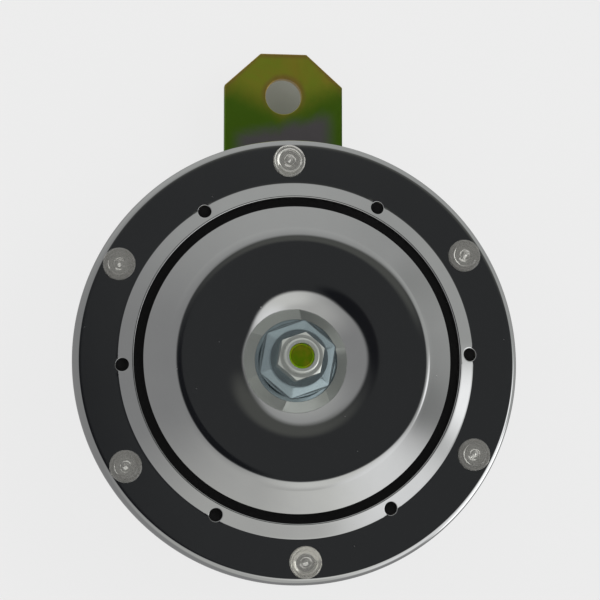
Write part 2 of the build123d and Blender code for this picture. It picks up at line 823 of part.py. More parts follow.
adjuster_back = floor_back - adjuster_nut_height - adjuster_behind_nut
adjuster_front = plate_back - adjuster_pad_thickness
with BuildPart() as adjusting_screw:
    with BuildSketch(across(adjuster_back, adjuster_radius)):
        Circle(adjuster_diameter / 2)
    extrude(amount=adjuster_front - adjuster_back)
    with BuildSketch(across(adjuster_back, adjuster_radius)):
        Rectangle(2 * adjuster_diameter, adjuster_slot_width, rotation=adjuster_slot_turn)
    extrude(amount=adjuster_slot_depth, mode=Mode.SUBTRACT)
adjusting_screw.part.label = "adjusting_screw"
export_step(adjusting_screw.part, "parts/adjusting_screw.step")

with BuildPart() as adjuster_pad:
    with BuildSketch(across(adjuster_front, adjuster_radius)):
        Circle(adjuster_diameter / 2)
    extrude(amount=adjuster_pad_thickness)
adjuster_pad.part.label = "adjuster_pad"
export_step(adjuster_pad.part, "parts/adjuster_pad.step")

adjuster_bore = adjuster_diameter / 2 + thread_clearance
with BuildPart() as adjuster_nuts:
    for back in (floor_front, floor_back - adjuster_nut_height):
        add(
            hexagon_nut(
                back,
                back + adjuster_nut_height,
                adjuster_nut_flats,
                adjuster_bore,
                beside=adjuster_radius,
            )
        )
adjuster_nuts.part.label = "adjuster_nuts"
export_step(adjuster_nuts.part, "parts/adjuster_nuts.step")

# ---- Terminals: moulded block, two tab terminals, rivets and their inner washers ----

terminal_places = [
    (-terminal_spread / 2, -terminal_rivet_radius),
    (terminal_spread / 2, -terminal_rivet_radius),
]
block_back = ledge_back - terminal_block_thickness
block_near = cup_well + cup_sheet + terminal_block_gap
block_far = terminal_rivet_radius + terminal_block_overhang
block_middle = -(block_near + block_far) / 2
block_depth = block_far - block_near
terminal_hole = terminal_rivet_diameter / 2 + hole_clearance
with BuildPart() as terminal_block:
    with BuildSketch(across(block_back)):
        with Locations((0, block_middle)):
            Rectangle(terminal_block_width, block_depth)
        with Locations(*terminal_places):
            Circle(terminal_hole, mode=Mode.SUBTRACT)
    extrude(amount=terminal_block_thickness)
    with BuildSketch(across(block_back)):
        with Locations((0, block_middle)):
            with GridLocations(terminal_spread, block_depth, terminal_fences, 1):
                Rectangle(terminal_fence_thickness, block_depth)
    extrude(amount=-terminal_fence_height)
terminal_block.part.label = "terminal_block"
export_step(terminal_block.part, "parts/terminal_block.step")

blade_back = block_back - terminal_blade_thickness
blade_end = block_far + terminal_blade_length
for side, place in zip(("left", "right"), terminal_places):
    with BuildPart() as tab_terminal:
        with BuildSketch(across(blade_back, place[0])):
            with Locations((0, -(block_near + blade_end) / 2)):
                Rectangle(terminal_blade_width, blade_end - block_near)
            with Locations((0, -terminal_rivet_radius)):
                Circle(terminal_hole, mode=Mode.SUBTRACT)
            with Locations((0, terminal_blade_hole_inset - blade_end)):
                Circle(terminal_blade_hole / 2, mode=Mode.SUBTRACT)
        extrude(amount=terminal_blade_thickness)
        chamfer(
            tab_terminal.edges().filter_by(Axis.Y).group_by(Axis.Z)[0],
            terminal_blade_chamfer,
        )
    tab_terminal.part.label = f"tab_terminal_{side}"
    export_step(tab_terminal.part, f"parts/tab_terminal_{side}.step")

washer_front = ledge_front + terminal_washer_thickness
with BuildPart() as terminal_washers:
    with BuildSketch(across(ledge_front)):
        with Locations(*terminal_places):
            Circle(terminal_washer_diameter / 2)
            Circle(terminal_hole, mode=Mode.SUBTRACT)
    extrude(amount=terminal_washer_thickness)
terminal_washers.part.label = "terminal_washers"
export_step(terminal_washers.part, "parts/terminal_washers.step")

with BuildPart() as terminal_rivets:
    with BuildSketch(across(blade_back)):
        with Locations(*terminal_places):
            Circle(terminal_rivet_diameter / 2)
    extrude(amount=washer_front - blade_back)
    with BuildSketch(across(washer_front)):
        with Locations(*terminal_places):
            Circle(terminal_rivet_head / 2)
    extrude(amount=terminal_rivet_head_height)
    with BuildSketch(across(blade_back)):
        with Locations(*terminal_places):
            Circle(terminal_rivet_head / 2)
    extrude(amount=-terminal_rivet_head_height)
terminal_rivets.part.label = "terminal_rivets"
export_step(terminal_rivets.part, "parts/terminal_rivets.step")

# ---- Lead wires: winding to left terminal, winding to arm, plate to right terminal ----

rivet_head_front = washer_front + terminal_rivet_head_height
lead_radius = lead_diameter / 2
bobbin_pin = bobbin_radius - lead_diameter


def inside(x, z, height):
    """Point in the housing beside and above the horn axis, at a height before the face."""
    return (x, face_y - height, axis_z + z)


left_lead_height = rivet_head_front + lead_radius
arm_lead_height = arm_front + lead_radius
plate_lead_height = plate_front + lead_radius
pin_side = bobbin_pin * math.sin(math.radians(lead_pin_angle))
pin_reach = bobbin_pin * math.cos(math.radians(lead_pin_angle))
lead_routes = [
    [
        inside(-terminal_spread / 2, -terminal_rivet_radius - lead_diameter, left_lead_height),
        inside(-terminal_spread / 2, -pin_reach, left_lead_height),
        inside(-terminal_spread / 2, -pin_reach, bobbin_front),
    ],
    [
        inside(breaker_rivet_radius, tab_middle, arm_lead_height),
        inside(pin_reach, pin_side, arm_lead_height),
        inside(pin_reach, pin_side, bobbin_front),
    ],
    [
        inside(breaker_rivet_radius, -tab_middle, plate_lead_height),
        inside(breaker_rivet_radius - breaker_base_width / 2, -2 * tab_middle, plate_lead_height),
        inside(terminal_spread / 2, -terminal_rivet_radius, left_lead_height),
    ],
]
with BuildPart() as lead_wires:
    for route in lead_routes:
        with BuildLine() as run:
            FilletPolyline(*route, radius=lead_bend)
        with BuildSketch(Plane(origin=run.line @ 0, z_dir=run.line % 0)):
            Circle(lead_radius)
        sweep(path=run.line)
lead_wires.part.label = "lead_wires"
export_step(lead_wires.part, "parts/lead_wires.step")
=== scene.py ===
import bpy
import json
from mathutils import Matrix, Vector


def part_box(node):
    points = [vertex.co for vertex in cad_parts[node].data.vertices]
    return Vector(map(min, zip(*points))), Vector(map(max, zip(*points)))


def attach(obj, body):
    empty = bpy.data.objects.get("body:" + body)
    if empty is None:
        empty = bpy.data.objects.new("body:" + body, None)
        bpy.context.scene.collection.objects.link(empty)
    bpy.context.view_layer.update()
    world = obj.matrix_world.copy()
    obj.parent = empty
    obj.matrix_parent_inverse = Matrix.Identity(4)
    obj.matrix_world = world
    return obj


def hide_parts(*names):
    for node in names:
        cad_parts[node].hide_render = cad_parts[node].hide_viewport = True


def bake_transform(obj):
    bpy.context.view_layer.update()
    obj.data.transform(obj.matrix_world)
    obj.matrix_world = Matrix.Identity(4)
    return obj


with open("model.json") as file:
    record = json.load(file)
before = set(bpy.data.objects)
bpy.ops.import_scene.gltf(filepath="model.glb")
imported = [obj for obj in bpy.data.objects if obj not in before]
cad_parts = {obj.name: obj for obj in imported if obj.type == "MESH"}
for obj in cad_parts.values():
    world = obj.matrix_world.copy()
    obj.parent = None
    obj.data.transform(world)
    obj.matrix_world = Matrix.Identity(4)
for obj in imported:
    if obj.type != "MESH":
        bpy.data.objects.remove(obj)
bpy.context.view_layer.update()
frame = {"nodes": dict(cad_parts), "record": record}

import json
import logging
import math
from collections.abc import Sequence
from dataclasses import dataclass, field
from enum import Enum
from typing import ClassVar

import bmesh
import bpy
import numpy as np
from mathutils import Vector

log = logging.getLogger("disc_horn")

MM = 0.001
Point = tuple[float, float]
Place = tuple[float, float, float]
Material = bpy.types.Material
Node = bpy.types.Node
Piece = bpy.types.Object
Source = bpy.types.Node | bpy.types.NodeSocket
Tree = bpy.types.NodeTree

# The horn's axis meets the flat face of the front ring here, in metres. The front gasket
# lies one sheet behind that face.
RING_SHEET = 0.7
_ring_low, _ring_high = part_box("front_ring")
FACE = Vector(
    (
        (_ring_low.x + _ring_high.x) / 2,
        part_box("front_gasket")[0].y - RING_SHEET * MM,
        (_ring_low.z + _ring_high.z) / 2,
    )
)


class Body(Enum):
    """Bodies of the horn that move by themselves."""

    HOUSING = "housing"
    VIBRATOR = "vibrator"
    BREAKER = "breaker"


class Slot(Enum):
    """Material slots of the record, by the real finish."""

    CHROME = "decorative_chrome"
    CLEAR_PLASTIC = "clear_plastic"
    BRIGHT_ZINC = "bright_zinc"
    YELLOW_ZINC = "yellow_zinc"
    BLACK_PAINT = "black_paint"
    GASKET = "gasket_fibre"
    SOFT_IRON = "soft_iron"
    BOBBIN = "bobbin_nylon"
    COPPER = "copper_enamel"
    SPRING_STEEL = "spring_steel"
    TUNGSTEN = "tungsten"
    PHENOLIC = "phenolic"
    BLACK_MOULDING = "black_moulding"
    TINNED_BRASS = "tinned_brass"
    NYLON_RING = "blue_nylon"
    WIRE_SLEEVE = "wire_sleeve"


# ---- Colours and nodes ----------------------------------------------------------------

# The two colours of a Mix node, by socket number, since its sockets share their names.
MIX_A, MIX_B = 6, 7


def srgb(code: str) -> tuple[float, float, float, float]:
    """Turns an sRGB hex colour into the linear RGBA that a socket takes.

    Args:
        code: Colour such as "#C4C5C5".

    Returns:
        Linear red, green, blue and an alpha of 1.
    """
    parts = [int(code[i : i + 2], 16) / 255 for i in (1, 3, 5)]
    linear = [c / 12.92 if c <= 0.04045 else ((c + 0.055) / 1.055) ** 2.4 for c in parts]
    return (linear[0], linear[1], linear[2], 1.0)


def connect(tree: Tree, node: Node, links: dict[str | int, Source]) -> None:
    """Links a node's inputs.

    Args:
        tree: Node tree.
        node: Node whose inputs are linked.
        links: Input socket, by name or number, to the output socket it reads, or to a node
            whose first live output it reads.
    """
    for key, source in links.items():
        if isinstance(source, Node):
            source = next(socket for socket in source.outputs if socket.enabled)
        tree.links.new(source, node.inputs[key])


def add_node(
    tree: Tree,
    kind: str,
    values: dict | None = None,
    links: dict[str | int, Source] | None = None,
    **settings: object,
) -> Node:
    """Adds a node, sets its options and input values, and links its inputs.

    Args:
        tree: Node tree that the node goes into.
        kind: Node type, such as "ShaderNodeTexNoise".
        values: Input socket, by name or number, to its constant value.
        links: Input socket to what it reads, as connect() takes them.
        **settings: Options of the node itself, such as operation="ADD".

    Returns:
        The new node.
    """
    node = tree.nodes.new(kind)
    for name, value in settings.items():
        setattr(node, name, value)
    for key, value in (values or {}).items():
        node.inputs[key].default_value = value
    connect(tree, node, links or {})
    return node


def pattern_scale(size_mm: float) -> float:
    """Texture scale that gives a pattern cells of a real size in millimetres."""
    return 1.0 / (size_mm * MM)


# ---- Finishes -------------------------------------------------------------------------


@dataclass(frozen=True)
class Finish:
    """A plain finish with a fine mottle in its colour, roughness and relief.

    Attributes:
        name: Name of the material.
        color: Base colour, sRGB hex.
        shade: Colour of the mottle, sRGB hex.
        metallic: 1 for a bare or plated metal, else 0.
        roughness: Middle roughness.
        spread: How far the roughness wanders either side.
        grain_mm: Size of the mottle.
        relief_mm: Height of the relief.
        ior: Index of refraction of a finish that is no metal.
    """

    name: str
    color: str
    shade: str
    metallic: float = 0.0
    roughness: float = 0.5
    spread: float = 0.08
    grain_mm: float = 0.8
    relief_mm: float = 0.004
    ior: float = 1.5
    # Values of its noise between which the mottle runs.
    mottle_range: ClassVar[Point] = (0.3, 0.7)

    def start(self) -> tuple[Material, Tree, Node]:
        """Makes the material with its constants set on the shader's own sockets.

        Returns:
            The material, its node tree and its Principled node.
        """
        material = bpy.data.materials.new(self.name)
        material.use_nodes = True
        tree = material.node_tree
        shader = tree.nodes["Principled BSDF"]
        shader.inputs["Metallic"].default_value = self.metallic
        if self.metallic < 1:
            shader.inputs["IOR"].default_value = self.ior
        return material, tree, shader

    def grain(self, tree: Tree, stretch: Place = (1.0, 1.0, 1.0)) -> Source:
        """Adds the mottle.

        Args:
            tree: Node tree of the material.
            stretch: Scale of the pattern along each object axis.

        Returns:
            Its noise, about 0 to 1.
        """
        place = add_node(tree, "ShaderNodeTexCoord").outputs["Object"]
        mapping = add_node(tree, "ShaderNodeMapping", {"Scale": stretch}, {"Vector": place})
        return add_node(
            tree,
            "ShaderNodeTexNoise",
            {"Scale": pattern_scale(self.grain_mm), "Detail": 4.0, "Roughness": 0.6},
            {"Vector": mapping},
        )

    def mottled(self, tree: Tree, factor: Source) -> Source:
        """Adds the colour that runs between the finish's two.

        Args:
            tree: Node tree of the material.
            factor: Share of the second colour.

        Returns:
            The colour.
        """
        return add_node(
            tree,
            "ShaderNodeMix",
            {MIX_A: srgb(self.color), MIX_B: srgb(self.shade)},
            {0: factor},
            data_type="RGBA",
        )

    def uneven(self, tree: Tree, factor: Source, low: float, high: float) -> Source:
        """Adds a roughness that wanders with the mottle.

        Args:
            tree: Node tree of the material.
            factor: The mottle.
            low: Least roughness.
            high: Greatest roughness.

        Returns:
            The roughness.
        """
        start, end = self.mottle_range
        return add_node(
            tree,
            "ShaderNodeMapRange",
            {"From Min": start, "From Max": end, "To Min": low, "To Max": high},
            {"Value": factor},
        )

    def wire(self, tree: Tree, shader: Node, factor: Source, color: Source | None = None) -> None:
        """Drives colour, roughness and relief from one mottle.

        Args:
            tree: Node tree of the material.
            shader: Its Principled node.
            factor: The mottle.
            color: Colour to use in place of the two-colour mottle.
        """
        low, high = max(self.roughness - self.spread, 0.01), min(self.roughness + self.spread, 1.0)
        relief = {"Distance": self.relief_mm * MM}
        links = {
            "Base Color": self.mottled(tree, factor) if color is None else color,
            "Roughness": self.uneven(tree, factor, low, high),
            "Normal": add_node(tree, "ShaderNodeBump", relief, {"Height": factor}),
        }
        connect(tree, shader, links)

    def material(self) -> Material:
        """Builds the material.

        Returns:
            The material.
        """
        material, tree, shader = self.start()
        self.wire(tree, shader, self.grain(tree))
        return material


@dataclass(frozen=True)
class ChromePlate(Finish):
    """Chromium over bright nickel on a pressed sheet: a mirror with a faint ripple and dust."""

    ripple_mm: float = 11.0
    ripple_height_mm: float = 0.010
    dust_mm: float = 5.0
    dust_share: float = 0.02
    dust_roughness: float = 0.35
    mottle_range: ClassVar[Point] = (0.35, 0.75)

    def material(self) -> Material:
        """Builds the material.

        Returns:
            The material.
        """
        material, tree, shader = self.start()
        place = add_node(tree, "ShaderNodeTexCoord").outputs["Object"]
        smudge = self.grain(tree)
        dust = add_node(
            tree, "ShaderNodeTexVoronoi", {"Scale": pattern_scale(self.dust_mm)}, {"Vector": place}
        )
        speck = add_node(
            tree,
            "ShaderNodeMapRange",
            {"From Min": 1.5 * self.dust_share, "From Max": self.dust_share},
            {"Value": dust},
        )
        rough = self.uneven(tree, smudge, self.roughness, self.roughness + self.spread)
        dusty = add_node(
            tree,
            "ShaderNodeMath",
            {0: self.dust_roughness},
            {1: speck, 2: rough},
            operation="MULTIPLY_ADD",
            use_clamp=True,
        )
        wave = {"Scale": pattern_scale(self.ripple_mm), "Detail": 1.0}
        ripple = add_node(tree, "ShaderNodeTexNoise", wave, {"Vector": place})
        height = {"Distance": self.ripple_height_mm * MM}
        bump = add_node(tree, "ShaderNodeBump", height, {"Height": ripple})
        color = self.mottled(tree, smudge)
        connect(tree, shader, {"Base Color": color, "Roughness": dusty, "Normal": bump})
        return material


@dataclass(frozen=True)
class YellowPassivate(Finish):
    """Yellow chromate over zinc: a gold-green film whose colour drifts."""

    patch_mm: float = 14.0
    # Values of the slow noise between which the colour drifts.
    drift_range: ClassVar[Point] = (0.36, 0.64)

    def film(self, tree: Tree, place: Source) -> tuple[Source, Source]:
        """Adds the drifting film.

        Args:
            tree: Node tree of the material.
            place: Object coordinates.

        Returns:
            Its colour and the slow noise behind it.
        """
        scale = pattern_scale(self.patch_mm)
        patches = add_node(
            tree,
            "ShaderNodeTexNoise",
            {"Scale": scale, "Detail": 5.0, "Roughness": 0.62, "Distortion": 0.6},
            {"Vector": place},
        )
        start, end = self.drift_range
        drift = add_node(
            tree, "ShaderNodeMapRange", {"From Min": start, "From Max": end}, {"Value": patches}
        )
        return self.mottled(tree, drift), patches

    def material(self) -> Material:
        """Builds the material.

        Returns:
            The material.
        """
        material, tree, shader = self.start()
        place = add_node(tree, "ShaderNodeTexCoord").outputs["Object"]
        self.wire(tree, shader, self.grain(tree), self.film(tree, place)[0])
        return material


@dataclass(frozen=True)
class StrapPassivate(YellowPassivate):
    """Yellow passivate on the strap, brown at its cut edges, with a darker green low down and a
    darker violet-grey near the ring: painted shade in the film's own tints.

    Attributes:
        green: Colour of the green zone, darker than the film: painted shade in its green tint,
            sRGB hex.
        green_edge: Height and half depth of its upper edge, in millimetres from the hole.
        green_lean: How far that edge drops toward the strap's sides.
        green_waver_mm: How far that edge wanders.
        violet: Colour of the darker zone above the ring, painted shade in a violet-grey tint, sRGB
            hex, on the strap's front only.
        violet_edge: Height and half depth of its upper edge.
        violet_side: Half width of the violet shade and half depth of its side edge.
        violet_lean: Slope of its upper edge across the strap.
        violet_waver_mm: How far that edge wanders.
        lower_end: Height and half depth at which both zones end behind the ring.
        front_fade_mm: Depth, either side of the strap's middle, over which the violet shade fades.
        brown: Colour of the thin film at the cut edges, sRGB hex.
        brown_share: Its strength at the very edge.
        brown_depth: How far from the edge it starts and is full.
        half_width_mm: Half the strap's width.
        top_mm: Its top above the hole.
        chamfer_mm: How much its corners take off.
        hole_mm: Radius of the hole.
        stretch: Scale of its grain along each axis, long with the rolling.
    """

    # The green and violet zones are darker than the film: painted shade for the strap's dimmer
    # middle and lower part.
    green: str = "#628A22"
    green_edge: Point = (-4.0, 4.0)
    green_lean: float = 0.46
    green_waver_mm: float = 6.0
    violet: str = "#7C787A"
    violet_edge: Point = (-7.0, 2.5)
    violet_side: Point = (11.5, 2.5)
    violet_lean: float = 0.2
    violet_waver_mm: float = 9.0
    lower_end: Point = (-22.0, -5.0)
    front_fade_mm: float = 0.6
    brown: str = "#A9834A"
    brown_share: float = 0.75
    brown_depth: Point = (1.7, 0.1)
    half_width_mm: float = 14.75
    top_mm: float = 10.8
    chamfer_mm: float = 8.6
    hole_mm: float = 4.5
    stretch: Place = (1.0, 1.0, 0.15)

    def zones(
        self, tree: Tree, axes: dict, side: Source, patches: Source
    ) -> tuple[Source, tuple[Source, ...]]:
        """Adds the darker green zone and the darker violet zone above the ring, both painted
        shade, both with a wandering upper edge.

        Args:
            tree: Node tree of the material.
            axes: Place on each axis, in millimetres.
            side: Distance from the strap's centre line.
            patches: Slow noise that their edges wander with.

        Returns:
            Strength of the green shade, and the shares whose product is that of the violet shade.
        """
        heights = []
        for lean, across, waver in (
            (self.green_lean, side, self.green_waver_mm),
            (self.violet_lean, axes["X"], self.violet_waver_mm),
        ):
            height = axes["Z"]
            for factor, source in ((-lean, across), (waver, patches)):
                height = add_node(
                    tree,
                    "ShaderNodeMath",
                    {1: factor},
                    {0: source, 2: height},
                    operation="MULTIPLY_ADD",
                )
            heights.append(height)
        low, sunk, middle, ended = (
            add_node(
                tree,
                "ShaderNodeMapRange",
                {"From Min": level + shift + fade, "From Max": level + shift - fade},
                {"Value": value},
                interpolation_type="SMOOTHSTEP",
            )
            for value, (level, fade), shift in (
                (heights[0], self.green_edge, self.green_waver_mm / 2),
                (heights[1], self.violet_edge, self.violet_waver_mm / 2),
                (side, self.violet_side, 0.0),
                (axes["Z"], self.lower_end, 0.0),
            )
        )
        front = add_node(
            tree,
            "ShaderNodeMapRange",
            {"From Min": self.front_fade_mm, "From Max": -self.front_fade_mm},
            {"Value": axes["Y"]},
        )
        green = add_node(tree, "ShaderNodeMath", links={0: low, 1: ended}, operation="MULTIPLY")
        return green, (sunk, middle, ended, front)

    def edge(self, tree: Tree, axes: dict, side: Source) -> Source:
        """Adds the strength of the thin film along the strap's cut edges and its hole.

        Args:
            tree: Node tree of the material.
            axes: Place on each axis, in millimetres.
            side: Distance from the strap's centre line.

        Returns:
            The strength.
        """
        corner = add_node(tree, "ShaderNodeMath", links={0: side, 1: axes["Z"]}, operation="ADD")
        flat = add_node(tree, "ShaderNodeCombineXYZ", links={"X": axes["X"], "Z": axes["Z"]})
        far = add_node(tree, "ShaderNodeVectorMath", links={0: flat}, operation="LENGTH")
        hole = {1: self.hole_mm}
        gaps = [
            add_node(tree, "ShaderNodeMath", {0: limit}, {1: value}, operation="SUBTRACT")
            for limit, value in (
                (self.half_width_mm, side),
                (self.top_mm, axes["Z"]),
                (self.half_width_mm + self.top_mm - self.chamfer_mm, corner),
            )
        ]
        gaps.append(add_node(tree, "ShaderNodeMath", hole, {0: far}, operation="SUBTRACT"))
        nearest = gaps[0]
        for gap in gaps[1:]:
            links = {0: nearest, 1: gap}
            nearest = add_node(tree, "ShaderNodeMath", links=links, operation="MINIMUM")
        start, full = self.brown_depth
        return add_node(
            tree,
            "ShaderNodeMapRange",
            {"From Min": start, "From Max": full, "To Max": self.brown_share},
            {"Value": nearest},
            interpolation_type="SMOOTHSTEP",
        )

    def material(self) -> Material:
        """Builds the material.

        Returns:
            The material.
        """
        material, tree, shader = self.start()
        place = add_node(tree, "ShaderNodeTexCoord").outputs["Object"]
        color, patches = self.film(tree, place)
        scale = {"Scale": 1 / MM}
        scaled = add_node(tree, "ShaderNodeVectorMath", scale, {0: place}, operation="SCALE")
        axes = add_node(tree, "ShaderNodeSeparateXYZ", links={"Vector": scaled}).outputs
        side = add_node(tree, "ShaderNodeMath", links={0: axes["X"]}, operation="ABSOLUTE")
        green, violet_shade = self.zones(tree, axes, side, patches)
        golden = add_node(
            tree, "ShaderNodeMath", {0: 1.0}, {1: green}, operation="SUBTRACT", use_clamp=True
        )
        # Painted shade: the darker green and violet zones; then the brown film at the cut edges.
        for tint, shares in (
            (self.green, (green,)),
            (self.violet, violet_shade),
            (self.brown, (self.edge(tree, axes, side), golden)),
        ):
            share = shares[0]
            for other in shares[1:]:
                links = {0: share, 1: other}
                share = add_node(tree, "ShaderNodeMath", links=links, operation="MULTIPLY")
            links = {0: share, MIX_A: color}
            color = add_node(tree, "ShaderNodeMix", {MIX_B: srgb(tint)}, links, data_type="RGBA")
        self.wire(tree, shader, self.grain(tree, self.stretch), color)
        return material


@dataclass(frozen=True)
class ClearMoulding(Finish):
    """Natural polyamide of a push rivet: clear with a slight milkiness."""

    clearness: float = 0.83

    def material(self) -> Material:
        """Builds the material.

        Returns:
            The material.
        """
        material, tree, shader = self.start()
        shader.inputs["Transmission Weight"].default_value = self.clearness
        self.wire(tree, shader, self.grain(tree))
        return material


FINISHES: dict[Slot, Finish] = {
    # Chromium over nickel: a cool mirror, so its picture comes from the room.
    Slot.CHROME: ChromePlate(
        "chrome_plated_steel", "#D2D3D3", "#C8C9CA", 1.0, 0.035, 0.05, grain_mm=11.0
    ),
    # Moulded polyamide: clear with soft highlights and a faint haze.
    Slot.CLEAR_PLASTIC: ClearMoulding(
        "moulded_clear_polyamide", "#F8F7F0", "#EDEBE3", 0.0, 0.07, 0.03, 0.5, 0.002, 1.53
    ),
    # Zinc electroplate with a blue passivate: bluish grey with a satin shine.
    Slot.BRIGHT_ZINC: Finish(
        "blue_passivated_zinc", "#B4C4C9", "#9FB0B6", 0.86, 0.22, 0.05, 0.5, 0.0005
    ),
    # Zinc electroplate with a yellow passivate: gold-green with a drifting film.
    Slot.YELLOW_ZINC: StrapPassivate(
        "yellow_passivated_zinc", "#A6B638", "#B8A93C", 0.8, 0.34, 0.06, 0.35, 0.001
    ),
    # Stoved paint on pressed steel: satin black with a fine orange peel.
    Slot.BLACK_PAINT: Finish(
        "stoved_black_paint", "#17181A", "#1F2022", 0.0, 0.38, 0.06, 1.4, 0.012
    ),
    # Compressed fibre sheet: matt dark brown-grey with short fibres.
    Slot.GASKET: Finish("compressed_fibre", "#2E2A26", "#3C3731", 0.0, 0.85, 0.08, 0.5, 0.02),
    # Turned low-carbon iron: dull grey.
    Slot.SOFT_IRON: Finish("turned_soft_iron", "#8E8C89", "#7B7975", 1.0, 0.42, 0.08, 0.4, 0.004),
    # Moulded natural polyamide: ivory and slightly waxy.
    Slot.BOBBIN: Finish(
        "moulded_ivory_polyamide", "#DCD5C0", "#CFC7AF", 0.0, 0.45, 0.06, 1.0, 0.01
    ),
    # Enamelled copper wire: glossy red-brown.
    Slot.COPPER: Finish("enamelled_copper", "#A8551F", "#8A3F14", 1.0, 0.3, 0.06, 0.5, 0.02),
    # Hardened strip steel: blue-grey with rolling marks.
    Slot.SPRING_STEEL: Finish(
        "rolled_spring_steel", "#8F8F8C", "#7C7D7C", 1.0, 0.3, 0.06, 0.4, 0.003
    ),
    # Ground tungsten: dark and matt.
    Slot.TUNGSTEN: Finish("ground_tungsten", "#77787A", "#626366", 1.0, 0.4, 0.05, 0.2, 0.002),
    # Paper laminate in phenolic resin: brown with a faint fibre.
    Slot.PHENOLIC: Finish("phenolic_laminate", "#5A3018", "#6B3D20", 0.0, 0.5, 0.08, 0.6, 0.01),
    # Moulded black polyamide: satin with a spark-eroded grain.
    Slot.BLACK_MOULDING: Finish(
        "moulded_black_polyamide", "#1B1B1C", "#252526", 0.0, 0.5, 0.08, 0.35, 0.02
    ),
    # Tinned brass strip: pale warm grey, slightly dull.
    Slot.TINNED_BRASS: Finish("tinned_brass", "#C9C4B4", "#B3AD9B", 1.0, 0.3, 0.07, 0.7, 0.003),
    # Polyamide locking ring: milky white.
    Slot.NYLON_RING: Finish(
        "locking_ring_polyamide", "#D8DAD6", "#C9CCC8", 0.0, 0.4, 0.05, 0.5, 0.005
    ),
    # Extruded PVC sleeve: red and glossy.
    Slot.WIRE_SLEEVE: Finish("pvc_wire_sleeve", "#8A1512", "#7A100E", 0.0, 0.35, 0.05, 0.8, 0.006),
}

# The stud's turned end takes the same passivate thinner: brighter and greener.
STUD_FINISH = YellowPassivate(
    "yellow_passivated_stud", "#8FC414", "#C2C02C", 0.85, 0.2, 0.05, 0.4, 0.001, patch_mm=2.0
)
# A barrel-plated nut without a bright dip: pale, neutral and satin.
SATIN_NUT = Finish("barrel_plated_zinc", "#D0D4CE", "#C4C8C2", 0.66, 0.21, 0.03, 2.0, 0.0005)
# Phosphated and oiled spring sheet, nearly black: its own dark finish, made darker still as
# painted shade for the deep gap round the tone disc.
DARK_SPRING = Finish("phosphated_spring_sheet_and_painted_shade", "#0B0B0C", "#121213", 0.0, 0.7, 0.08, 0.5, 0.006)


class FinishShelf:
    """Makes each finish once and hands it out."""

    def __init__(self) -> None:
        """Starts with nothing made."""
        self._made: dict[str, Material] = {}

    def get(self, finish: Slot | Finish) -> Material:
        """Returns a finish's material.

        Args:
            finish: Slot of the record, or a finish of its own.

        Returns:
            The material, made on first use.
        """
        chosen = FINISHES[finish] if isinstance(finish, Slot) else finish
        if chosen.name not in self._made:
            self._made[chosen.name] = chosen.material()
        return self._made[chosen.name]


SHELF = FinishShelf()
NODE_SLOT = {part["node"]: Slot(part["material_slot"]) for part in frame["record"]["subparts"]}
NODE_BODY = {
    node: Body(body)
    for body, nodes in frame["record"]["behaviour"]["bodies"].items()
    for node in nodes
}


# ---- Outlines -------------------------------------------------------------------------

# A corner that opens to within this of a straight line isn't rounded, in radians.
STRAIGHT_MARGIN = 1e-4


def rounded(points: list[Point], radii: Sequence[float], turn_step: float = 5.0) -> list[Point]:
    """Rounds the inner corners of an open outline.

    Args:
        points: Corners in millimetres.
        radii: One radius for each inner corner; 0 keeps it sharp.
        turn_step: Largest turn of one facet, in degrees.

    Returns:
        Points along the rounded outline.
    """
    result = [points[0]]
    for index, radius in enumerate(radii, start=1):
        corner = Vector(points[index])
        back = (Vector(points[index - 1]) - corner).normalized()
        ahead = (Vector(points[index + 1]) - corner).normalized()
        opening = back.angle(ahead)
        if radius <= 0 or opening > math.pi - STRAIGHT_MARGIN:
            result.append(tuple(corner))
            continue
        centre = corner + (back + ahead).normalized() * radius / math.sin(opening / 2)
        start = corner + back * radius / math.tan(opening / 2) - centre
        finish = corner + ahead * radius / math.tan(opening / 2) - centre
        steps = max(2, math.ceil(math.degrees(math.pi - opening) / turn_step))
        for step in range(steps + 1):
            arm = start.slerp(finish, step / steps).normalized() * radius
            result.append(tuple(centre + arm))
    result.append(points[-1])
    return result


def divided(points: list[Point], longest: float) -> list[Point]:
    """Divides the long runs of an outline.

    Args:
        points: Points of the outline.
        longest: Longest run that may stay, in millimetres.

    Returns:
        The outline with even points along its long runs.
    """
    result = [points[0]]
    for before, after in zip(points, points[1:]):
        run = Vector(after) - Vector(before)
        parts = max(1, math.ceil(run.length / longest))
        result += [tuple(Vector(before) + run * k / parts) for k in range(1, parts + 1)]
    return result


def shifted(points: list[Point], distance: float) -> list[Point]:
    """Moves an outline to its left by a distance, mitred at its corners.

    Args:
        points: Points of the outline.
        distance: Distance in millimetres.

    Returns:
        As many points, on the parallel outline.
    """
    path = np.array(points)
    runs = np.diff(path, axis=0)
    runs /= np.linalg.norm(runs, axis=1)[:, None]
    left = np.stack([-runs[:, 1], runs[:, 0]], axis=1)
    before = np.vstack([left[:1], left])
    after = np.vstack([left, left[-1:]])
    middle = before + after
    middle /= np.linalg.norm(middle, axis=1)[:, None]
    reach = distance / np.sum(middle * after, axis=1)
    return [tuple(p) for p in path + middle * reach[:, None]]


# ---- Geometry Nodes trees ---------------------------------------------------------------

# Radius of the path that a turned outline follows: as good as none, in metres.
AXIS_PATH = 1e-6


def new_tree(name: str, inputs: dict[str, str]) -> tuple[Tree, bpy.types.bpy_prop_collection]:
    """Starts a Geometry Nodes tree with a geometry in and a geometry out.

    Args:
        name: Name of the tree.
        inputs: Name of each further input to the last word of its socket type.

    Returns:
        The tree and the sockets of its input node, by name.
    """
    tree = bpy.data.node_groups.new(name, "GeometryNodeTree")
    for label, kind in {"Geometry": "Geometry", **inputs}.items():
        tree.interface.new_socket(name=label, in_out="INPUT", socket_type=f"NodeSocket{kind}")
    tree.interface.new_socket(name="Geometry", in_out="OUTPUT", socket_type="NodeSocketGeometry")
    return tree, add_node(tree, "NodeGroupInput").outputs


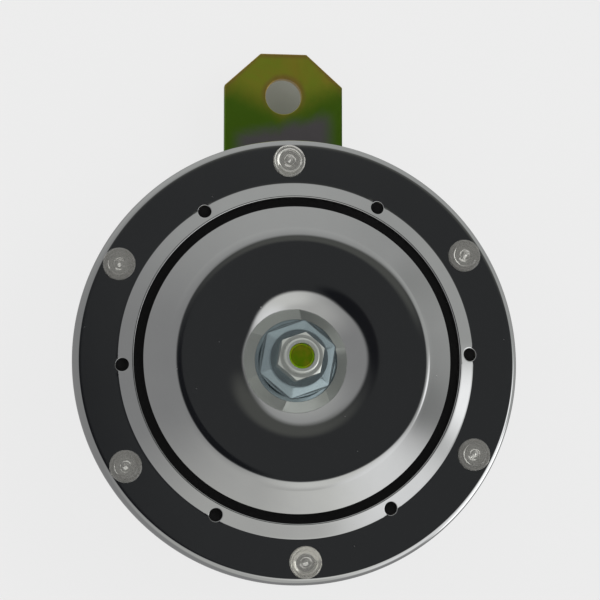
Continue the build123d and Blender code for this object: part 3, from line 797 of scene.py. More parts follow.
def close_tree(tree: Tree, shape: Source, finish: Source) -> None:
    """Ends a Geometry Nodes tree.

    Args:
        tree: Node tree.
        shape: Its shape.
        finish: Finish that the shape takes.
    """
    links = {"Geometry": shape, "Material": finish}
    dressed = add_node(tree, "GeometryNodeSetMaterial", links=links)
    add_node(tree, "NodeGroupOutput", links={0: dressed})


def turned_tree() -> Tree:
    """Tree that turns a closed outline about the horn's axis, facing forward.

    Returns:
        The tree, whose inputs are Segments, Clocking, Seat and Finish.
    """
    tree, given = new_tree(
        "turned_piece",
        {"Segments": "Int", "Clocking": "Float", "Seat": "Vector", "Finish": "Material"},
    )
    outline = add_node(tree, "GeometryNodeMeshToCurve", links={"Mesh": given["Geometry"]})
    path = add_node(
        tree,
        "GeometryNodeCurvePrimitiveCircle",
        {"Radius": AXIS_PATH},
        {"Resolution": given["Segments"]},
    )
    swept = add_node(
        tree, "GeometryNodeCurveToMesh", links={"Curve": path, "Profile Curve": outline}
    )
    facing = add_node(tree, "ShaderNodeCombineXYZ", {"X": -math.pi / 2}, {"Y": given["Clocking"]})
    seated = add_node(
        tree,
        "GeometryNodeTransform",
        links={"Geometry": swept, "Translation": given["Seat"], "Rotation": facing},
    )
    close_tree(tree, seated, given["Finish"])
    return tree


def ring_pattern_tree() -> Tree:
    """Tree that repeats a piece round the horn's axis, unturned.

    Returns:
        The tree, whose inputs are Radius, Count, First Angle, Seat and Finish.
    """
    tree, given = new_tree(
        "ring_pattern",
        {
            "Radius": "Float",
            "Count": "Int",
            "First Angle": "Float",
            "Seat": "Vector",
            "Finish": "Material",
        },
    )
    places = add_node(
        tree,
        "GeometryNodeMeshCircle",
        links={"Vertices": given["Count"], "Radius": given["Radius"]},
    )
    clocking = add_node(tree, "ShaderNodeCombineXYZ", links={"Z": given["First Angle"]})
    clocked = add_node(
        tree, "GeometryNodeTransform", links={"Geometry": places, "Rotation": clocking}
    )
    upright = add_node(
        tree,
        "GeometryNodeTransform",
        {"Rotation": (math.pi / 2, 0.0, 0.0)},
        {"Geometry": clocked, "Translation": given["Seat"]},
    )
    copies = add_node(
        tree,
        "GeometryNodeInstanceOnPoints",
        links={"Points": upright, "Instance": given["Geometry"]},
    )
    real = add_node(tree, "GeometryNodeRealizeInstances", links={"Geometry": copies})
    close_tree(tree, real, given["Finish"])
    return tree


def apply_tree(piece: Piece, tree: Tree, values: dict[str, object]) -> None:
    """Puts a Geometry Nodes modifier on a piece and sets its named inputs.

    Args:
        piece: Object that carries the modifier.
        tree: Geometry Nodes tree.
        values: Input name to value.
    """
    modifier = piece.modifiers.new(tree.name, "NODES")
    modifier.node_group = tree
    sockets = {s.name: s.identifier for s in tree.interface.items_tree if s.in_out == "INPUT"}
    for name, value in values.items():
        modifier[sockets[name]] = value


# ---- Pieces ---------------------------------------------------------------------------

# Vertices nearer than this are one, in a piece built here and in a CAD mesh, in metres.
BUILT_WELD = 1e-7
CAD_WELD = 2e-6
# Faces of a CAD mesh that turn less than this are one face, in degrees.
FLAT_TURN = 0.3
# Edges of a turned piece that turn more than this stay crisp, in degrees.
TURNED_SHARP = 40.0
# How far the large faces of a flat piece outweigh its small ones; 50 is even, 100 the most.
FLAT_WEIGHT = 100


def link_mesh(name: str, mesh: bpy.types.Mesh) -> Piece:
    """Makes an object of a mesh at the origin and links it to the scene.

    Args:
        name: Name of the object.
        mesh: Its mesh.

    Returns:
        The object.
    """
    piece = bpy.data.objects.new(name, mesh)
    bpy.context.scene.collection.objects.link(piece)
    return piece


def baked(piece: Piece) -> bpy.types.Mesh:
    """Applies a piece's modifiers.

    Args:
        piece: Piece, which has none left afterwards.

    Returns:
        Its new mesh.
    """
    graph = bpy.context.evaluated_depsgraph_get()
    mesh = bpy.data.meshes.new_from_object(piece.evaluated_get(graph))
    piece.modifiers.clear()
    piece.data = mesh
    return mesh


def soften(piece: Piece, edge_mm: float, least_turn: float = 28.0, segments: int = 3) -> None:
    """Rounds a piece's crisp edges with a modifier.

    Args:
        piece: The piece.
        edge_mm: Width of the rounding, in millimetres.
        least_turn: Edges that turn less than this stay as they are, in degrees.
        segments: Facets across the rounding.
    """
    bevel = piece.modifiers.new("edge", "BEVEL")
    bevel.width = edge_mm * MM
    bevel.segments = segments
    bevel.limit_method = "ANGLE"
    bevel.angle_limit = math.radians(least_turn)


def settle(piece: Piece, sharp_angle: float = 32.0, flats: bool = False) -> Piece:
    """Turns a piece's modifiers into one plain, smooth mesh with outward faces.

    Args:
        piece: Piece with modifiers.
        sharp_angle: Edges that turn more than this stay crisp, in degrees.
        flats: Whether its large flat faces keep an even shade up to their soft edges.

    Returns:
        The same piece.
    """
    mesh = baked(piece)
    work = bmesh.new()
    work.from_mesh(mesh)
    bmesh.ops.remove_doubles(work, verts=work.verts, dist=BUILT_WELD)
    bmesh.ops.recalc_face_normals(work, faces=work.faces)
    work.to_mesh(mesh)
    work.free()
    mesh.shade_smooth()
    mesh.set_sharp_from_angle(angle=math.radians(sharp_angle))
    if flats:
        weigh = piece.modifiers.new("flats", "WEIGHTED_NORMAL")
        weigh.mode = "FACE_AREA"
        weigh.weight = FLAT_WEIGHT
        weigh.keep_sharp = True
        baked(piece)
    return piece


@dataclass(frozen=True)
class Flex:
    """Bend of a sprung piece between the housing that holds it and the body that works it.

    Attributes:
        body: Body that its free end follows; not used.
        start: Where it leaves the housing, in the row frame; not used.
        end: Where it follows the body alone, in the row frame; not used.
    """

    body: Body
    start: Vector
    end: Vector


def install(piece: Piece, node: str, flex: Flex | None = None) -> Piece:
    """Puts a finished piece in the place of a CAD node.

    Args:
        piece: Piece in its place in the row frame.
        node: CAD node that it stands for.
        flex: Its bend, where it is a spring that crosses a joint; only whether one is given is
            read: such a piece is baked in place and joins no body.

    Returns:
        The same piece.
    """
    if not piece.data.materials:
        piece.data.materials.append(SHELF.get(NODE_SLOT[node]))
    if flex:
        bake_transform(piece)
    else:
        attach(piece, NODE_BODY[node].value)
    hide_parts(node)
    log.info("%s: %d faces, stands for %s", piece.name, len(piece.data.polygons), node)
    return piece


def turned(
    name: str,
    outline: list[Point],
    tree: Tree,
    slot: Slot,
    seat: Vector,
    segments: int,
    clocking: float = 0.0,
) -> Piece:
    """Starts a turned piece from its closed outline.

    Args:
        name: Name of the piece.
        outline: Closed outline in millimetres, x the radius and y the height.
        tree: The turning tree.
        slot: Its finish.
        seat: Where its axis meets height 0, in metres.
        segments: Facets round the axis; 6 makes a hexagon nut.
        clocking: Turn about the axis, in degrees.

    Returns:
        The object with its modifier.
    """
    mesh = bpy.data.meshes.new(name)
    count = len(outline)
    verts = [(x * MM, y * MM, 0.0) for x, y in outline]
    mesh.from_pydata(verts, [(k, (k + 1) % count) for k in range(count)], [])
    piece = link_mesh(name, mesh)
    values = {
        "Segments": segments,
        "Clocking": -math.radians(clocking),
        "Seat": seat,
        "Finish": SHELF.get(slot),
    }
    apply_tree(piece, tree, values)
    return piece


def carried(
    node: str, edge_mm: float = 0.0, finish: Finish | None = None, flex: Flex | None = None
) -> Piece:
    """Dresses a merged copy of a CAD node with smooth faces and softened edges.

    Args:
        node: CAD node.
        edge_mm: Radius of its softened edges; 0 leaves them crisp.
        finish: Finish in place of its slot's own.
        flex: Its bend, where it is a spring that crosses a joint.

    Returns:
        The installed piece.
    """
    mesh = frame["nodes"][node].data.copy()
    mesh.materials.clear()
    work = bmesh.new()
    work.from_mesh(mesh)
    bmesh.ops.remove_doubles(work, verts=work.verts, dist=CAD_WELD)
    bmesh.ops.dissolve_limit(
        work, angle_limit=math.radians(FLAT_TURN), verts=work.verts, edges=work.edges
    )
    work.to_mesh(mesh)
    work.free()
    mesh.materials.append(SHELF.get(finish or NODE_SLOT[node]))
    piece = link_mesh(f"dressed_{node}", mesh)
    if edge_mm > 0:
        soften(piece, edge_mm)
    return install(settle(piece, flats=True), node, flex)


def relabel(node: str) -> None:
    """Gives a CAD node that stays its procedural finish.

    Args:
        node: CAD node.
    """
    piece = frame["nodes"][node]
    for place in piece.material_slots:
        place.material = SHELF.get(NODE_SLOT[node])
    log.info("%s: carried over, %s", node, NODE_SLOT[node].value)


# ---- Front ring -------------------------------------------------------------------------


@dataclass
class RingGrid:
    """Grid of the ring's front and back skin, turned about the horn's axis.

    Attributes:
        skins: Radius and height of each row, in millimetres, of the front and the back skin.
        spokes: Direction of each column seen along the axis.
        verts: Vertices in millimetres, which grow.
        faces: Faces, which grow.
    """

    skins: tuple[np.ndarray, np.ndarray]
    spokes: np.ndarray
    verts: list[Place] = field(default_factory=list)
    faces: list[tuple[int, ...]] = field(default_factory=list)

    def index(self, side: int, column: int, row: int) -> int:
        """Finds a vertex of the grid.

        Args:
            side: 0 for the front skin, 1 for the back skin.
            column: Its column, which may run past the last one.
            row: Its row.

        Returns:
            Its number.
        """
        count = len(self.spokes)
        return (side * count + column % count) * len(self.skins[0]) + row

    def fill(self, pierced: set[tuple[int, int]]) -> None:
        """Adds the grid's vertices and faces.

        Args:
            pierced: Column and row of each cell that stays open.
        """
        count, rows = len(self.spokes), len(self.skins[0])
        for skin in self.skins:
            for across, up in self.spokes:
                for radius, height in skin:
                    self.verts.append((across * radius, -height, up * radius))
        for column in range(count):
            after = column + 1
            for row in range(rows - 1):
                if (column, row) in pierced:
                    continue
                cell = [(column, row), (after, row), (after, row + 1), (column, row + 1)]
                self.faces.append(tuple(self.index(0, *corner) for corner in cell))
                self.faces.append(tuple(self.index(1, *corner) for corner in reversed(cell)))
            for row in (0, rows - 1):
                wall = [(0, column), (0, after), (1, after), (1, column)]
                self.faces.append(tuple(self.index(*corner, row) for corner in wall))

    def plan(self, side: int, loop: list[tuple[int, int]]) -> np.ndarray:
        """Sees vertices along the axis.

        Args:
            side: 0 for the front skin, 1 for the back skin.
            loop: Column and row of each vertex.

        Returns:
            Their places across and up, in millimetres.
        """
        count = len(self.spokes)
        return np.array([self.spokes[c % count] * self.skins[side][r, 0] for c, r in loop])


@dataclass
class FrontRing:
    """Pressed, chromed ring: flat face, sloped zone with six holes, rolled crest, crimped rim."""

    radius: float = 52.5
    sheet: float = RING_SHEET
    rim_radius: float = 1.8
    crimp_radius: float = 0.9
    crimp_width: float = 2.2
    crimp_back: float = -4.0
    bend: float = 41.9
    bend_radius: float = 0.6
    opening: float = 38.3
    slope: float = 25.0
    crest_radius: float = 0.32
    wall_depth: float = 0.9
    longest_run: float = 0.45
    hole_count: int = 6
    hole_circle: float = 41.0
    hole_radius: float = 1.5
    hole_lip: float = 0.22
    clocking: float = 2.34
    segments: int = 720
    # Block of the grid that makes way for each hole and its collar of faces.
    block_columns: int = 7
    block_radii: Point = (38.72, 43.3)
    block_floor: float = -0.5
    # Rows beside the block that a collar's heights are read from, inward and outward.
    margin_rows: tuple[int, int] = (6, 12)
    # Rings of the collar: shares of its way to the hole's lip, then turns over that lip.
    collar_shares: tuple[float, ...] = (0.3, 0.6, 0.85, 1.0)
    lip_tilts: tuple[float, ...] = (22.5, 45.0, 67.5, 90.0)
    back_share: float = 0.5

    def skins(self) -> tuple[np.ndarray, np.ndarray]:
        """Front and back skin of the ring's section, point for point.

        Returns:
            Two arrays of radius and height in millimetres.
        """
        corner = (self.bend - self.opening) * math.tan(math.radians(self.slope))
        front = rounded(
            [
                (self.radius - self.crimp_width, self.crimp_back),
                (self.radius, self.crimp_back),
                (self.radius, 0.0),
                (self.bend, 0.0),
                (self.opening, corner),
                (self.opening, -self.wall_depth),
            ],
            [self.crimp_radius, self.rim_radius, self.bend_radius, self.crest_radius],
        )
        front = divided(front, self.longest_run)
        return np.array(front), np.array(shifted(front, self.sheet))

    def build(self) -> Piece:
        """Builds the ring as a grid of turned skins, with a round collar of faces at each hole.

        Returns:
            The installed ring.
        """
        front, back = self.skins()
        count = self.segments
        angles = math.radians(self.clocking) + np.arange(count) * 2 * math.pi / count
        grid = RingGrid((front, back), np.stack([np.cos(angles), np.sin(angles)], axis=1))
        inner, outer = self.block_radii
        inside = [
            row
            for row, (radius, height) in enumerate(front)
            if inner <= radius <= outer and height > self.block_floor
        ]
        first, last = min(inside), max(inside)
        middles = [hole * (count // self.hole_count) for hole in range(self.hole_count)]
        grid.fill(
            {
                ((middle + column) % count, row)
                for middle in middles
                for column in range(-self.block_columns, self.block_columns)
                for row in range(first, last)
            }
        )
        for middle in middles:
            self.pierce(grid, middle, first, last)

        mesh = bpy.data.meshes.new("front_ring_chromed")
        places = np.array(grid.verts) * MM + np.array(FACE)
        mesh.from_pydata([tuple(place) for place in places], [], grid.faces)
        return install(settle(link_mesh("front_ring_chromed", mesh)), "front_ring")

    def pierce(self, grid: RingGrid, middle: int, first: int, last: int) -> None:
        """Adds the collar of faces between one hole and the block of the grid left out for it.

        Args:
            grid: Grid of the ring, which grows.
            middle: Column on which the hole lies.
            first: First row of the block.
            last: Last row of the block.
        """
        low, high = middle - self.block_columns, middle + self.block_columns
        loop = [(column, first) for column in range(low, high)]
        loop += [(high, row) for row in range(first, last)]
        loop += [(column, last) for column in range(high, low, -1)]
        loop += [(low, row) for row in range(last, first, -1)]

        def height(side: int, places: np.ndarray) -> np.ndarray:
            """Finds the height of a skin.

            Args:
                side: 0 for the front skin, 1 for the back skin.
                places: Places seen along the axis.

            Returns:
                The height at each place.
            """
            zone = grid.skins[side][first - self.margin_rows[0] : last + self.margin_rows[1]]
            order = np.argsort(zone[:, 0])
            return np.interp(np.linalg.norm(places, axis=1), zone[order, 0], zone[order, 1])

        centre = grid.spokes[middle] * self.hole_circle
        outer = grid.plan(0, loop)
        arms = outer - centre
        arms /= np.linalg.norm(arms, axis=1)[:, None]
        lip_edge = centre + arms * (self.hole_radius + self.hole_lip)
        rings: list[tuple[np.ndarray, np.ndarray]] = []
        for share in self.collar_shares:
            places = outer + (lip_edge - outer) * share
            rings.append((places, height(0, places)))
        for tilt in map(math.radians, self.lip_tilts):
            places = centre + arms * (self.hole_radius + self.hole_lip * (1 - math.sin(tilt)))
            fall = self.hole_lip * (1 - math.cos(tilt))
            rings.append((places, height(0, places) - fall))
        wall = centre + arms * self.hole_radius
        rings.append((wall, height(1, wall)))
        places = wall + (grid.plan(1, loop) - wall) * self.back_share
        rings.append((places, height(1, places)))

        size = len(loop)
        numbers = [[grid.index(0, *place) for place in loop]]
        for places, heights in rings:
            start = len(grid.verts)
            grid.verts.extend((p[0], -h, p[1]) for p, h in zip(places, heights))
            numbers.append(list(range(start, start + size)))
        numbers.append([grid.index(1, *place) for place in loop])
        for near, far in zip(numbers, numbers[1:]):
            for k in range(size):
                after = (k + 1) % size
                grid.faces.append((near[k], near[after], far[after], far[k]))


# ---- Rivets -----------------------------------------------------------------------------


@dataclass
class PushRivets:
    """Six clear push rivets: a hollow shell with a stepped head, and the pin driven into it."""

    count: int = 6
    circle_radius: float = 47.25
    first_angle: float = 32.34
    bore: float = 1.35
    shank: float = 2.0
    head: float = 3.8
    head_edge: float = 0.55
    head_height: float = 0.95
    # Where the head's top turns down: in from its edge, and below its full height.
    head_crown: Point = (0.3, 0.05)
    # How far below head_edge its upright side starts.
    side_drop: float = 0.1
    step: float = 2.9
    step_height: float = 1.45
    step_slope: float = 0.35
    flange_back: float = -3.3
    tail_swell: float = 0.5
    tail_length: float = 3.4
    pin_gap: float = 0.05
    pin_height: float = 1.6
    pin_point: float = 1.0
    dimple: float = 0.7
    dimple_depth: float = 0.35
    # An outline that closes on the axis stays this far from it.
    axis_gap: float = 1e-4
    shell_radii: tuple[float, ...] = (0.2, 0.12, 0.25, 0.3, 0.0, 0.1, 0.0, 0.15, 0.15, 0.0)
    pin_radii: tuple[float, ...] = (0.2, 0.18, 0.1)
    turn_step: float = 15.0
    segments: int = 72

    def shell_outline(self) -> list[Point]:
        """Draws the shell.

        Returns:
            Its closed outline.
        """
        back = self.flange_back
        swollen = self.shank + self.tail_swell
        corners = [
            (self.bore, self.step_height),
            (self.step - self.step_slope, self.step_height),
            (self.step, self.head_height),
            (self.head - self.head_crown[0], self.head_height - self.head_crown[1]),
            (self.head, self.head_edge - self.side_drop),
            (self.head, 0.0),
            (self.shank, 0.0),
            (self.shank, back),
            (swollen, back - self.tail_swell),
            (swollen, back - 2 * self.tail_swell),
            (self.shank, back - self.tail_length),
            (self.bore, back - self.tail_length),
        ]
        return rounded(corners, self.shell_radii, self.turn_step)[::-1]

    def pin_outline(self) -> list[Point]:
        """Draws the pin, dimpled at its head and pointed at its tail.

        Returns:
            Its closed outline.
        """
        radius = self.bore - self.pin_gap
        tail = self.flange_back - self.tail_length
        corners = [
            (self.axis_gap, self.pin_height - self.dimple_depth),
            (self.dimple, self.pin_height),
            (radius, self.pin_height),
            (radius, tail),
            (self.axis_gap, tail - self.pin_point),
        ]
        return rounded(corners, self.pin_radii, self.turn_step)[::-1]

    def build(self, turning: Tree, pattern: Tree) -> None:
        """Builds the shells and the pins.

        Args:
            turning: Tree that turns an outline.
            pattern: Tree that repeats a piece round the ring.
        """
        values = {
            "Radius": self.circle_radius * MM,
            "Count": self.count,
            "First Angle": math.radians(self.first_angle),
            "Seat": FACE,
            "Finish": SHELF.get(Slot.CLEAR_PLASTIC),
        }
        for outline, node in (
            (self.shell_outline(), "rivet_shells"),
            (self.pin_outline(), "rivet_pins"),
        ):
            piece = turned(
                f"{node}_clear", outline, turning, Slot.CLEAR_PLASTIC, Vector(), self.segments
            )
            apply_tree(piece, pattern, values)
            install(settle(piece, TURNED_SHARP), node)


# ---- Tone disc and the stack of nuts ------------------------------------------------------


@dataclass
class ToneDisc:
    """Pressed, chromed disc: sloped edge, steeper shoulder, flat crest and a bowl for the nut."""

    radius: float = 36.1
    sheet: float = 1.2
    edge_height: float = 1.38
    crest_height: float = 4.4
    shoulder: float = 28.98
    shoulder_end: float = 30.9
    shoulder_end_height: float = 3.48
    dish: float = 15.82
    floor: float = 6.6
    floor_height: float = -0.3
    bore: float = 3.1
    outer_radius: float = 8.0
    hollow_radius: float = 3.0
    rim_radius: float = 17.0
    floor_radius: float = 1.5
    turn_step: float = 1.0
    longest_run: float = 1.0
    segments: int = 720

    def build(self, turning: Tree) -> Piece:
        """Builds the disc.

        Args:
            turning: Tree that turns an outline.

        Returns:
            The installed disc.
        """
        front = rounded(
            [
                (self.radius, self.edge_height),
                (self.shoulder_end, self.shoulder_end_height),
                (self.shoulder, self.crest_height),
                (self.dish, self.crest_height),
                (self.floor, self.floor_height),
                (self.bore, self.floor_height),
            ],
            [self.hollow_radius, self.outer_radius, self.rim_radius, self.floor_radius],
            self.turn_step,
        )
        front = divided(front, self.longest_run)
        outline = front + shifted(front, self.sheet)[::-1]
        piece = turned("tone_disc_chromed", outline, turning, Slot.CHROME, FACE, self.segments)
        return install(settle(piece, TURNED_SHARP), "tone_disc")


@dataclass
class NutStack:
    """Nuts, washer, locking ring and stud in the middle of the tone disc."""

    clamp_corner: float = 9.55
    clamp_top_corner: float = 6.95
    clamp_seat: float = 7.6
    clamp_seat_height: float = -0.3
    clamp_side: Point = (0.45, 1.3)
    clamp_top: float = 2.3
    clamp_bore: float = 3.2
    # Its edges that turn more than clamp_turn, in degrees, are softened over these facets.
    clamp_edge: float = 0.3
    clamp_turn: float = 15.0
    clamp_segments: int = 4
    clamp_facets: int = 6
    clamp_clocking: float = 20.0
    own: dict[str, Finish] = field(
        default_factory=lambda: {"lock_nut": SATIN_NUT, "armature_stud": STUD_FINISH}
    )
    edges: dict[str, float] = field(
        default_factory=lambda: {
            "plain_washer": 0.18,
            "lock_nut": 0.14,
            "lock_nut_insert": 0.08,
            "front_spacer": 0.0,
            "armature_stud": 0.08,
        }
    )

    def build(self, turning: Tree) -> None:
        """Builds the clamp nut and dresses each other piece of the stack.

        Args:
            turning: Tree that turns an outline.
        """
        outline = [
            (self.clamp_bore, self.clamp_top),
            (self.clamp_top_corner, self.clamp_top),
            (self.clamp_corner, self.clamp_side[1]),
            (self.clamp_corner, self.clamp_side[0]),
            (self.clamp_seat, self.clamp_seat_height),
            (self.clamp_bore, self.clamp_seat_height),
        ]
        nut = turned(
            "clamp_nut_zinc",
            outline[::-1],
            turning,
            Slot.BRIGHT_ZINC,
            FACE,
            self.clamp_facets,
            self.clamp_clocking,
        )
        soften(nut, self.clamp_edge, self.clamp_turn, self.clamp_segments)
        install(settle(nut, TURNED_SHARP, flats=True), "clamp_nut")
        for node, edge in self.edges.items():
            carried(node, edge, self.own.get(node))


# ---- Housing, strap, terminals and mechanism ----------------------------------------------


@dataclass
class CarriedGroup:
    """Pieces whose CAD shape is right: a smooth copy with softened edges for each.

    Attributes:
        title: What the group is.
        edges: Node name to the radius of its softened edges in millimetres.
    """

    title: str
    edges: dict[str, float]

    def build(self) -> None:
        """Dresses each piece of the group."""
        log.info("%s", self.title)
        for node, edge in self.edges.items():
            carried(node, edge)


@dataclass
class Springs:
    """Diaphragm and breaker arm, which bend as the armature moves; here each is baked in place and
    joins no body.
    """

    diaphragm_sheet: float = 0.4

    def diaphragm_flex(self) -> Flex:
        """Finds how the diaphragm's cone bends.

        Returns:
            Its bend, from its clamped rim to its middle.
        """
        front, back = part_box("diaphragm")
        middle = (front + back) / 2
        sheet = self.diaphragm_sheet * MM
        return Flex(
            Body.VIBRATOR,
            Vector((middle.x, front.y + sheet, middle.z)),
            Vector((middle.x, back.y - sheet, middle.z)),
        )

    def arm_flex(self) -> Flex:
        """Finds how the breaker arm bends.

        Returns:
            Its bend, from its clamp to its contact.
        """
        clamp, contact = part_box("breaker_insulators")[0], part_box("moving_contact")[1]
        return Flex(Body.BREAKER, Vector((clamp.x, contact.y, contact.z)), contact)

    def build(self) -> None:
        """Dresses both springs."""
        carried("diaphragm", finish=DARK_SPRING, flex=self.diaphragm_flex())
        carried("breaker_arm", flex=self.arm_flex())


@dataclass
class Mechanism:
    """Hidden pieces inside the housing, which keep their CAD meshes."""

    nodes: tuple[str, ...]

    def build(self) -> None:
        """Gives each piece its finish."""
        for node in self.nodes:
            relabel(node)


# ---- Studio -------------------------------------------------------------------------------


@dataclass(frozen=True)
class Panel:
    """A soft-edged panel of the room that shines in polished metal.

    Attributes:
        name: What it is.
        across: Angle of its middle to the right of straight ahead of the horn, in degrees.
        up: Angle of its middle above the horizon, in degrees.
        half_across: Half its width, in degrees.
        half_up: Half its height, in degrees.
        fade: Width of its soft edge, as a share of its half width and half height.
        color: Its colour, sRGB hex.
        gain: Its brightness against a white of 1.
    """

    name: str
    across: float
    up: float
    half_across: float
    half_up: float
    fade: float
    color: str
    gain: float = 1.0


@dataclass(frozen=True)
class Lamp:
    """A soft square lamp that looks at the horn.

    Attributes:
        name: Its name.
        place: Its place in metres.
        size: Its side in metres.
        power: Its power in watts.
    """

    name: str
    place: Place
    size: float
    power: float


@dataclass
class Studio:
    """Camera, lamps, room, floor and backdrop."""

    camera_place: Place = (-0.06697, -0.58299, -0.12579)
    camera_aim: Place = (0.12034, 0.98466, 0.12634)
    lens: float = 143.5
    sensor: float = 36.0
    clip: Point = (0.01, 20.0)
    pale: str = "#EDEDED"
    soft_light: float = 0.86
    sheet_reach: float = 1.6
    sheet_roughness: float = 0.9
    floor_height: float = -0.15
    wall_place: float = 0.013
    wall_glow: float = 0.92
    # Painted shadow: a darker spot on the backdrop behind the strap hole, its middle, radii and
    # colour.
    painted_shadow_middle: Point = (0.0015, 0.0028)
    painted_shadow_radii: Point = (0.0055, 0.0095)
    painted_shadow_color: str = "#93938E"
    room_color: str = "#969696"
    squareness: float = 3.0
    panels: tuple[Panel, ...] = (
        Panel("ceiling", 0.0, 88.0, 400.0, 50.0, 0.5, "#B9BAB8"),
        Panel("right_wall", 85.0, 25.0, 38.0, 70.0, 0.3, "#B4B5B3"),
        Panel("table", 12.0, -58.0, 58.0, 38.0, 0.4, "#C3C3C0"),
        Panel("sheen", 22.0, -30.0, 20.0, 14.0, 0.6, "#E6E6E2"),
        Panel("glare", 55.0, -39.0, 24.0, 20.0, 0.5, "#FFFFFF", 1.0),
        Panel("window", 66.0, -15.0, 8.5, 21.0, 0.3, "#FFFFFF", 1.45),
        Panel("lamp", 96.0, -26.0, 18.0, 16.0, 0.3, "#FFFFFF", 2.0),
        Panel("dark_wall", 17.5, 4.5, 35.0, 26.0, 0.1, "#353637"),
        Panel("dark_wall_top", 19.0, 24.0, 27.0, 10.0, 0.5, "#565754"),
        Panel("doorway", -6.5, -4.0, 8.5, 13.0, 0.3, "#1B1C1F"),
    )
    lamps: tuple[Lamp, ...] = (
        Lamp("key", (0.9, -1.3, 0.15), 0.9, 6.0),
        Lamp("fill", (-1.0, -1.0, 0.4), 0.9, 2.0),
        Lamp("rear", (0.4, 1.0, 0.5), 0.8, 5.0),
    )

    def aimed(self, name: str, data: bpy.types.ID, place: Place, way: Vector) -> Piece:
        """Makes an object that looks one way.

        Args:
            name: Name of the object.
            data: Its camera or lamp.
            place: Its place in metres.
            way: Direction in which it looks.

        Returns:
            The object.
        """
        body = bpy.data.objects.new(name, data)
        bpy.context.scene.collection.objects.link(body)
        body.location = place
        body.rotation_euler = way.to_track_quat("-Z", "Y").to_euler()
        return body

    def camera(self) -> None:
        """Makes the camera."""
        data = bpy.data.cameras.new("camera")
        data.lens = self.lens
        data.sensor_width = self.sensor
        data.clip_start, data.clip_end = self.clip
        view = self.aimed("camera", data, self.camera_place, Vector(self.camera_aim))
        bpy.context.scene.camera = view

    def light(self, lamp: Lamp) -> None:
        """Makes a lamp that lights the horn but leaves its mirror finish to the room.

        Args:
            lamp: The lamp.
        """
        data = bpy.data.lights.new(lamp.name, "AREA")
        data.size = lamp.size
        data.energy = lamp.power
        body = self.aimed(lamp.name, data, lamp.place, FACE - Vector(lamp.place))
        body.visible_glossy = False

    def panel_share(self, tree: Tree, panel: Panel, across: Source, up: Source) -> Source:
        """Adds how strongly a panel covers a direction.

        Args:
            tree: Node tree of the world.
            panel: The panel.
            across: Angle of the direction to the right of straight ahead, in radians.
            up: Its angle above the horizon, in radians.

        Returns:
            1 on the panel and 0 off it, with a soft edge.
        """
        reaches = []
        for angle, middle, half in (
            (across, panel.across, panel.half_across),
            (up, panel.up, panel.half_up),
        ):
            reach = angle
            for operation, value in (
                ("SUBTRACT", math.radians(middle)),
                ("DIVIDE", math.radians(half)),
                ("ABSOLUTE", 0.0),
                ("POWER", self.squareness),
            ):
                reach = add_node(
                    tree, "ShaderNodeMath", {1: value}, {0: reach}, operation=operation
                )
            reaches.append(reach)
        total = add_node(tree, "ShaderNodeMath", links=dict(enumerate(reaches)), operation="ADD")
        reach = add_node(
            tree, "ShaderNodeMath", {1: 1 / self.squareness}, {0: total}, operation="POWER"
        )
        return add_node(
            tree,
            "ShaderNodeMapRange",
            {"From Min": 1 + panel.fade, "From Max": 1 - panel.fade},
            {"Value": reach},
            interpolation_type="SMOOTHSTEP",
        )

    def room(self) -> None:
        """Makes the world: a pale ground for the eye, soft light, and a room to mirror."""
        world = bpy.data.worlds.new("studio_room")
        bpy.context.scene.world = world
        world.use_nodes = True
        tree = world.node_tree
        direction = add_node(tree, "ShaderNodeTexCoord").outputs["Generated"]
        way = add_node(tree, "ShaderNodeSeparateXYZ", links={"Vector": direction}).outputs
        ahead = add_node(tree, "ShaderNodeMath", {1: -1.0}, {0: way["Y"]}, operation="MULTIPLY")
        across = add_node(
            tree, "ShaderNodeMath", links={0: way["X"], 1: ahead}, operation="ARCTAN2"
        )
        up = add_node(tree, "ShaderNodeMath", links={0: way["Z"]}, operation="ARCSINE")
        color = None
        for panel in self.panels:
            links = {0: self.panel_share(tree, panel, across, up)}
            if color:
                links[MIX_A] = color
            shine = tuple(c * panel.gain for c in srgb(panel.color)[:3]) + (1.0,)
            colors = {MIX_A: srgb(self.room_color), MIX_B: shine}
            options = {"data_type": "RGBA", "label": panel.name}
            color = add_node(tree, "ShaderNodeMix", colors, links, **options)
        rays = add_node(tree, "ShaderNodeLightPath").outputs
        mirrored = add_node(
            tree,
            "ShaderNodeMath",
            links={0: rays["Is Glossy Ray"], 1: rays["Is Transmission Ray"]},
            operation="MAXIMUM",
        )
        soft = (self.soft_light,) * 3 + (1.0,)
        lit = add_node(
            tree, "ShaderNodeMix", {MIX_A: soft}, {0: mirrored, MIX_B: color}, data_type="RGBA"
        )
        final = add_node(
            tree,
            "ShaderNodeMix",
            {MIX_B: srgb(self.pale)},
            {0: rays["Is Camera Ray"], MIX_A: lit},
            data_type="RGBA",
        )
        connect(tree, tree.nodes["Background"], {"Color": final})

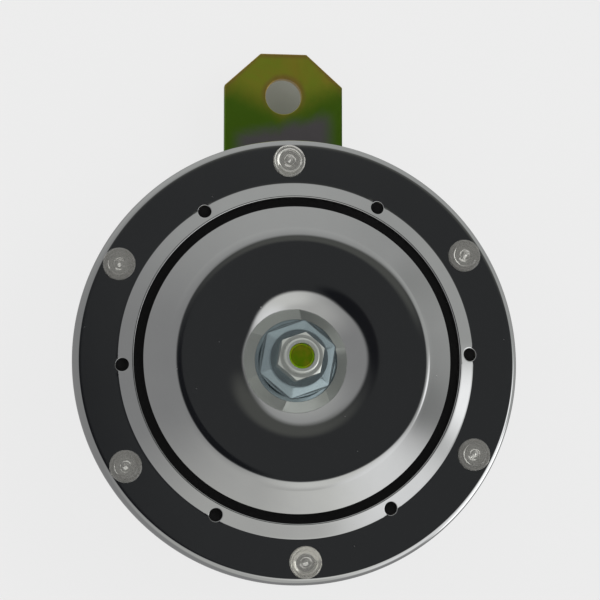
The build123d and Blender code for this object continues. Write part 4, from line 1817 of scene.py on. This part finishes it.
    def backdrop(self) -> None:
        """Makes the wall: an even pale glow, a soft cast shadow in its diffuse share, and a
        painted shadow (a darker colour) behind the strap hole, where the glow gives way to the
        plain diffuse wall; seen from its front only.
        """
        side, wall, low = self.sheet_reach, self.wall_place, self.floor_height
        corners = [(-side, wall, low), (side, wall, low), (side, wall, side), (-side, wall, side)]
        tree = self.stage_sheet("backdrop", corners).node_tree
        diffuse = tree.nodes["Principled BSDF"]
        place = add_node(tree, "ShaderNodeTexCoord").outputs["Object"]
        axes = add_node(tree, "ShaderNodeSeparateXYZ", links={"Vector": place}).outputs
        flat = add_node(tree, "ShaderNodeCombineXYZ", links={"X": axes["X"], "Y": axes["Z"]})
        middle = {1: (*self.painted_shadow_middle, 0.0)}
        far = add_node(tree, "ShaderNodeVectorMath", middle, {0: flat}, operation="DISTANCE")
        start, end = self.painted_shadow_radii
        # Behind the strap hole the glow fades out and the base colour turns darker: a painted
        # shadow over the wall's own diffuse shade.
        share = add_node(
            tree,
            "ShaderNodeMapRange",
            {"From Min": start, "From Max": end, "To Max": self.wall_glow},
            {"Value": far},
            interpolation_type="SMOOTHSTEP",
        )
        # Painted shadow colour behind the strap hole, pale elsewhere.
        tint = add_node(
            tree,
            "ShaderNodeMix",
            {MIX_A: srgb(self.painted_shadow_color), MIX_B: srgb(self.pale)},
            {0: share},
            data_type="RGBA",
        )
        connect(tree, diffuse, {"Base Color": tint})
        glow = add_node(tree, "ShaderNodeEmission", {"Color": srgb(self.pale), "Strength": 1.0})
        pale = add_node(tree, "ShaderNodeMixShader", links={0: share, 1: diffuse, 2: glow})
        behind = add_node(tree, "ShaderNodeNewGeometry").outputs["Backfacing"]
        clear = add_node(tree, "ShaderNodeBsdfTransparent")
        choice = add_node(tree, "ShaderNodeMixShader", links={0: behind, 1: pale, 2: clear})
        connect(tree, tree.nodes["Material Output"], {"Surface": choice})

    def stage_sheet(self, name: str, corners: list[Place]) -> Material:
        """Makes a pale matt sheet of the stage.

        Args:
            name: Name of the sheet.
            corners: Its corners in metres, turning left seen from its front.

        Returns:
            Its material.
        """
        mesh = bpy.data.meshes.new(name)
        mesh.from_pydata(corners, [], [tuple(range(len(corners)))])
        sheet = link_mesh(name, mesh)
        material = bpy.data.materials.new(name)
        material.use_nodes = True
        shader = material.node_tree.nodes["Principled BSDF"]
        shader.inputs["Base Color"].default_value = srgb(self.pale)
        shader.inputs["Roughness"].default_value = self.sheet_roughness
        shader.inputs["Specular IOR Level"].default_value = 0.0
        mesh.materials.append(material)
        sheet.visible_glossy = False
        return material

    def build(self) -> None:
        """Sets the stage."""
        bpy.context.scene.view_settings.view_transform = "Standard"
        self.camera()
        self.room()
        self.backdrop()
        side, low = self.sheet_reach, self.floor_height
        corners = [(-side, -side, low), (side, -side, low), (side, side, low), (-side, side, low)]
        self.stage_sheet("floor", corners)
        for lamp in self.lamps:
            self.light(lamp)


# ---- Build --------------------------------------------------------------------------------


def main() -> None:
    """Builds the horn's looks and its stage."""
    logging.basicConfig(level=logging.INFO, format="%(name)s: %(message)s")
    Studio().build()
    turning = turned_tree()
    pattern = ring_pattern_tree()
    FrontRing().build()
    PushRivets().build(turning, pattern)
    ToneDisc().build(turning)
    NutStack().build(turning)
    CarriedGroup(
        "housing",
        {"housing_cup": 0.15, "front_gasket": 0.0, "rear_gasket": 0.0},
    ).build()
    Springs().build()
    CarriedGroup(
        "strap and its fastening",
        {
            "mounting_strap": 0.25,
            "core_nut": 0.15,
            "spring_washer": 0.15,
            "strap_nut": 0.15,
            "pole_core": 0.0,
        },
    ).build()
    CarriedGroup(
        "terminals and adjuster",
        {
            "terminal_block": 0.25,
            "tab_terminal_left": 0.12,
            "tab_terminal_right": 0.12,
            "terminal_rivets": 0.15,
            "breaker_rivets": 0.15,
            "adjusting_screw": 0.1,
            "adjuster_nuts": 0.1,
        },
    ).build()
    Mechanism(
        (
            "rear_washer",
            "armature",
            "coil_bobbin",
            "coil_winding",
            "breaker_insulators",
            "breaker_plate",
            "moving_contact",
            "fixed_contact",
            "breaker_pusher",
            "adjuster_pad",
            "terminal_washers",
            "lead_wires",
        )
    ).build()


if __name__ == "__main__":
    main()
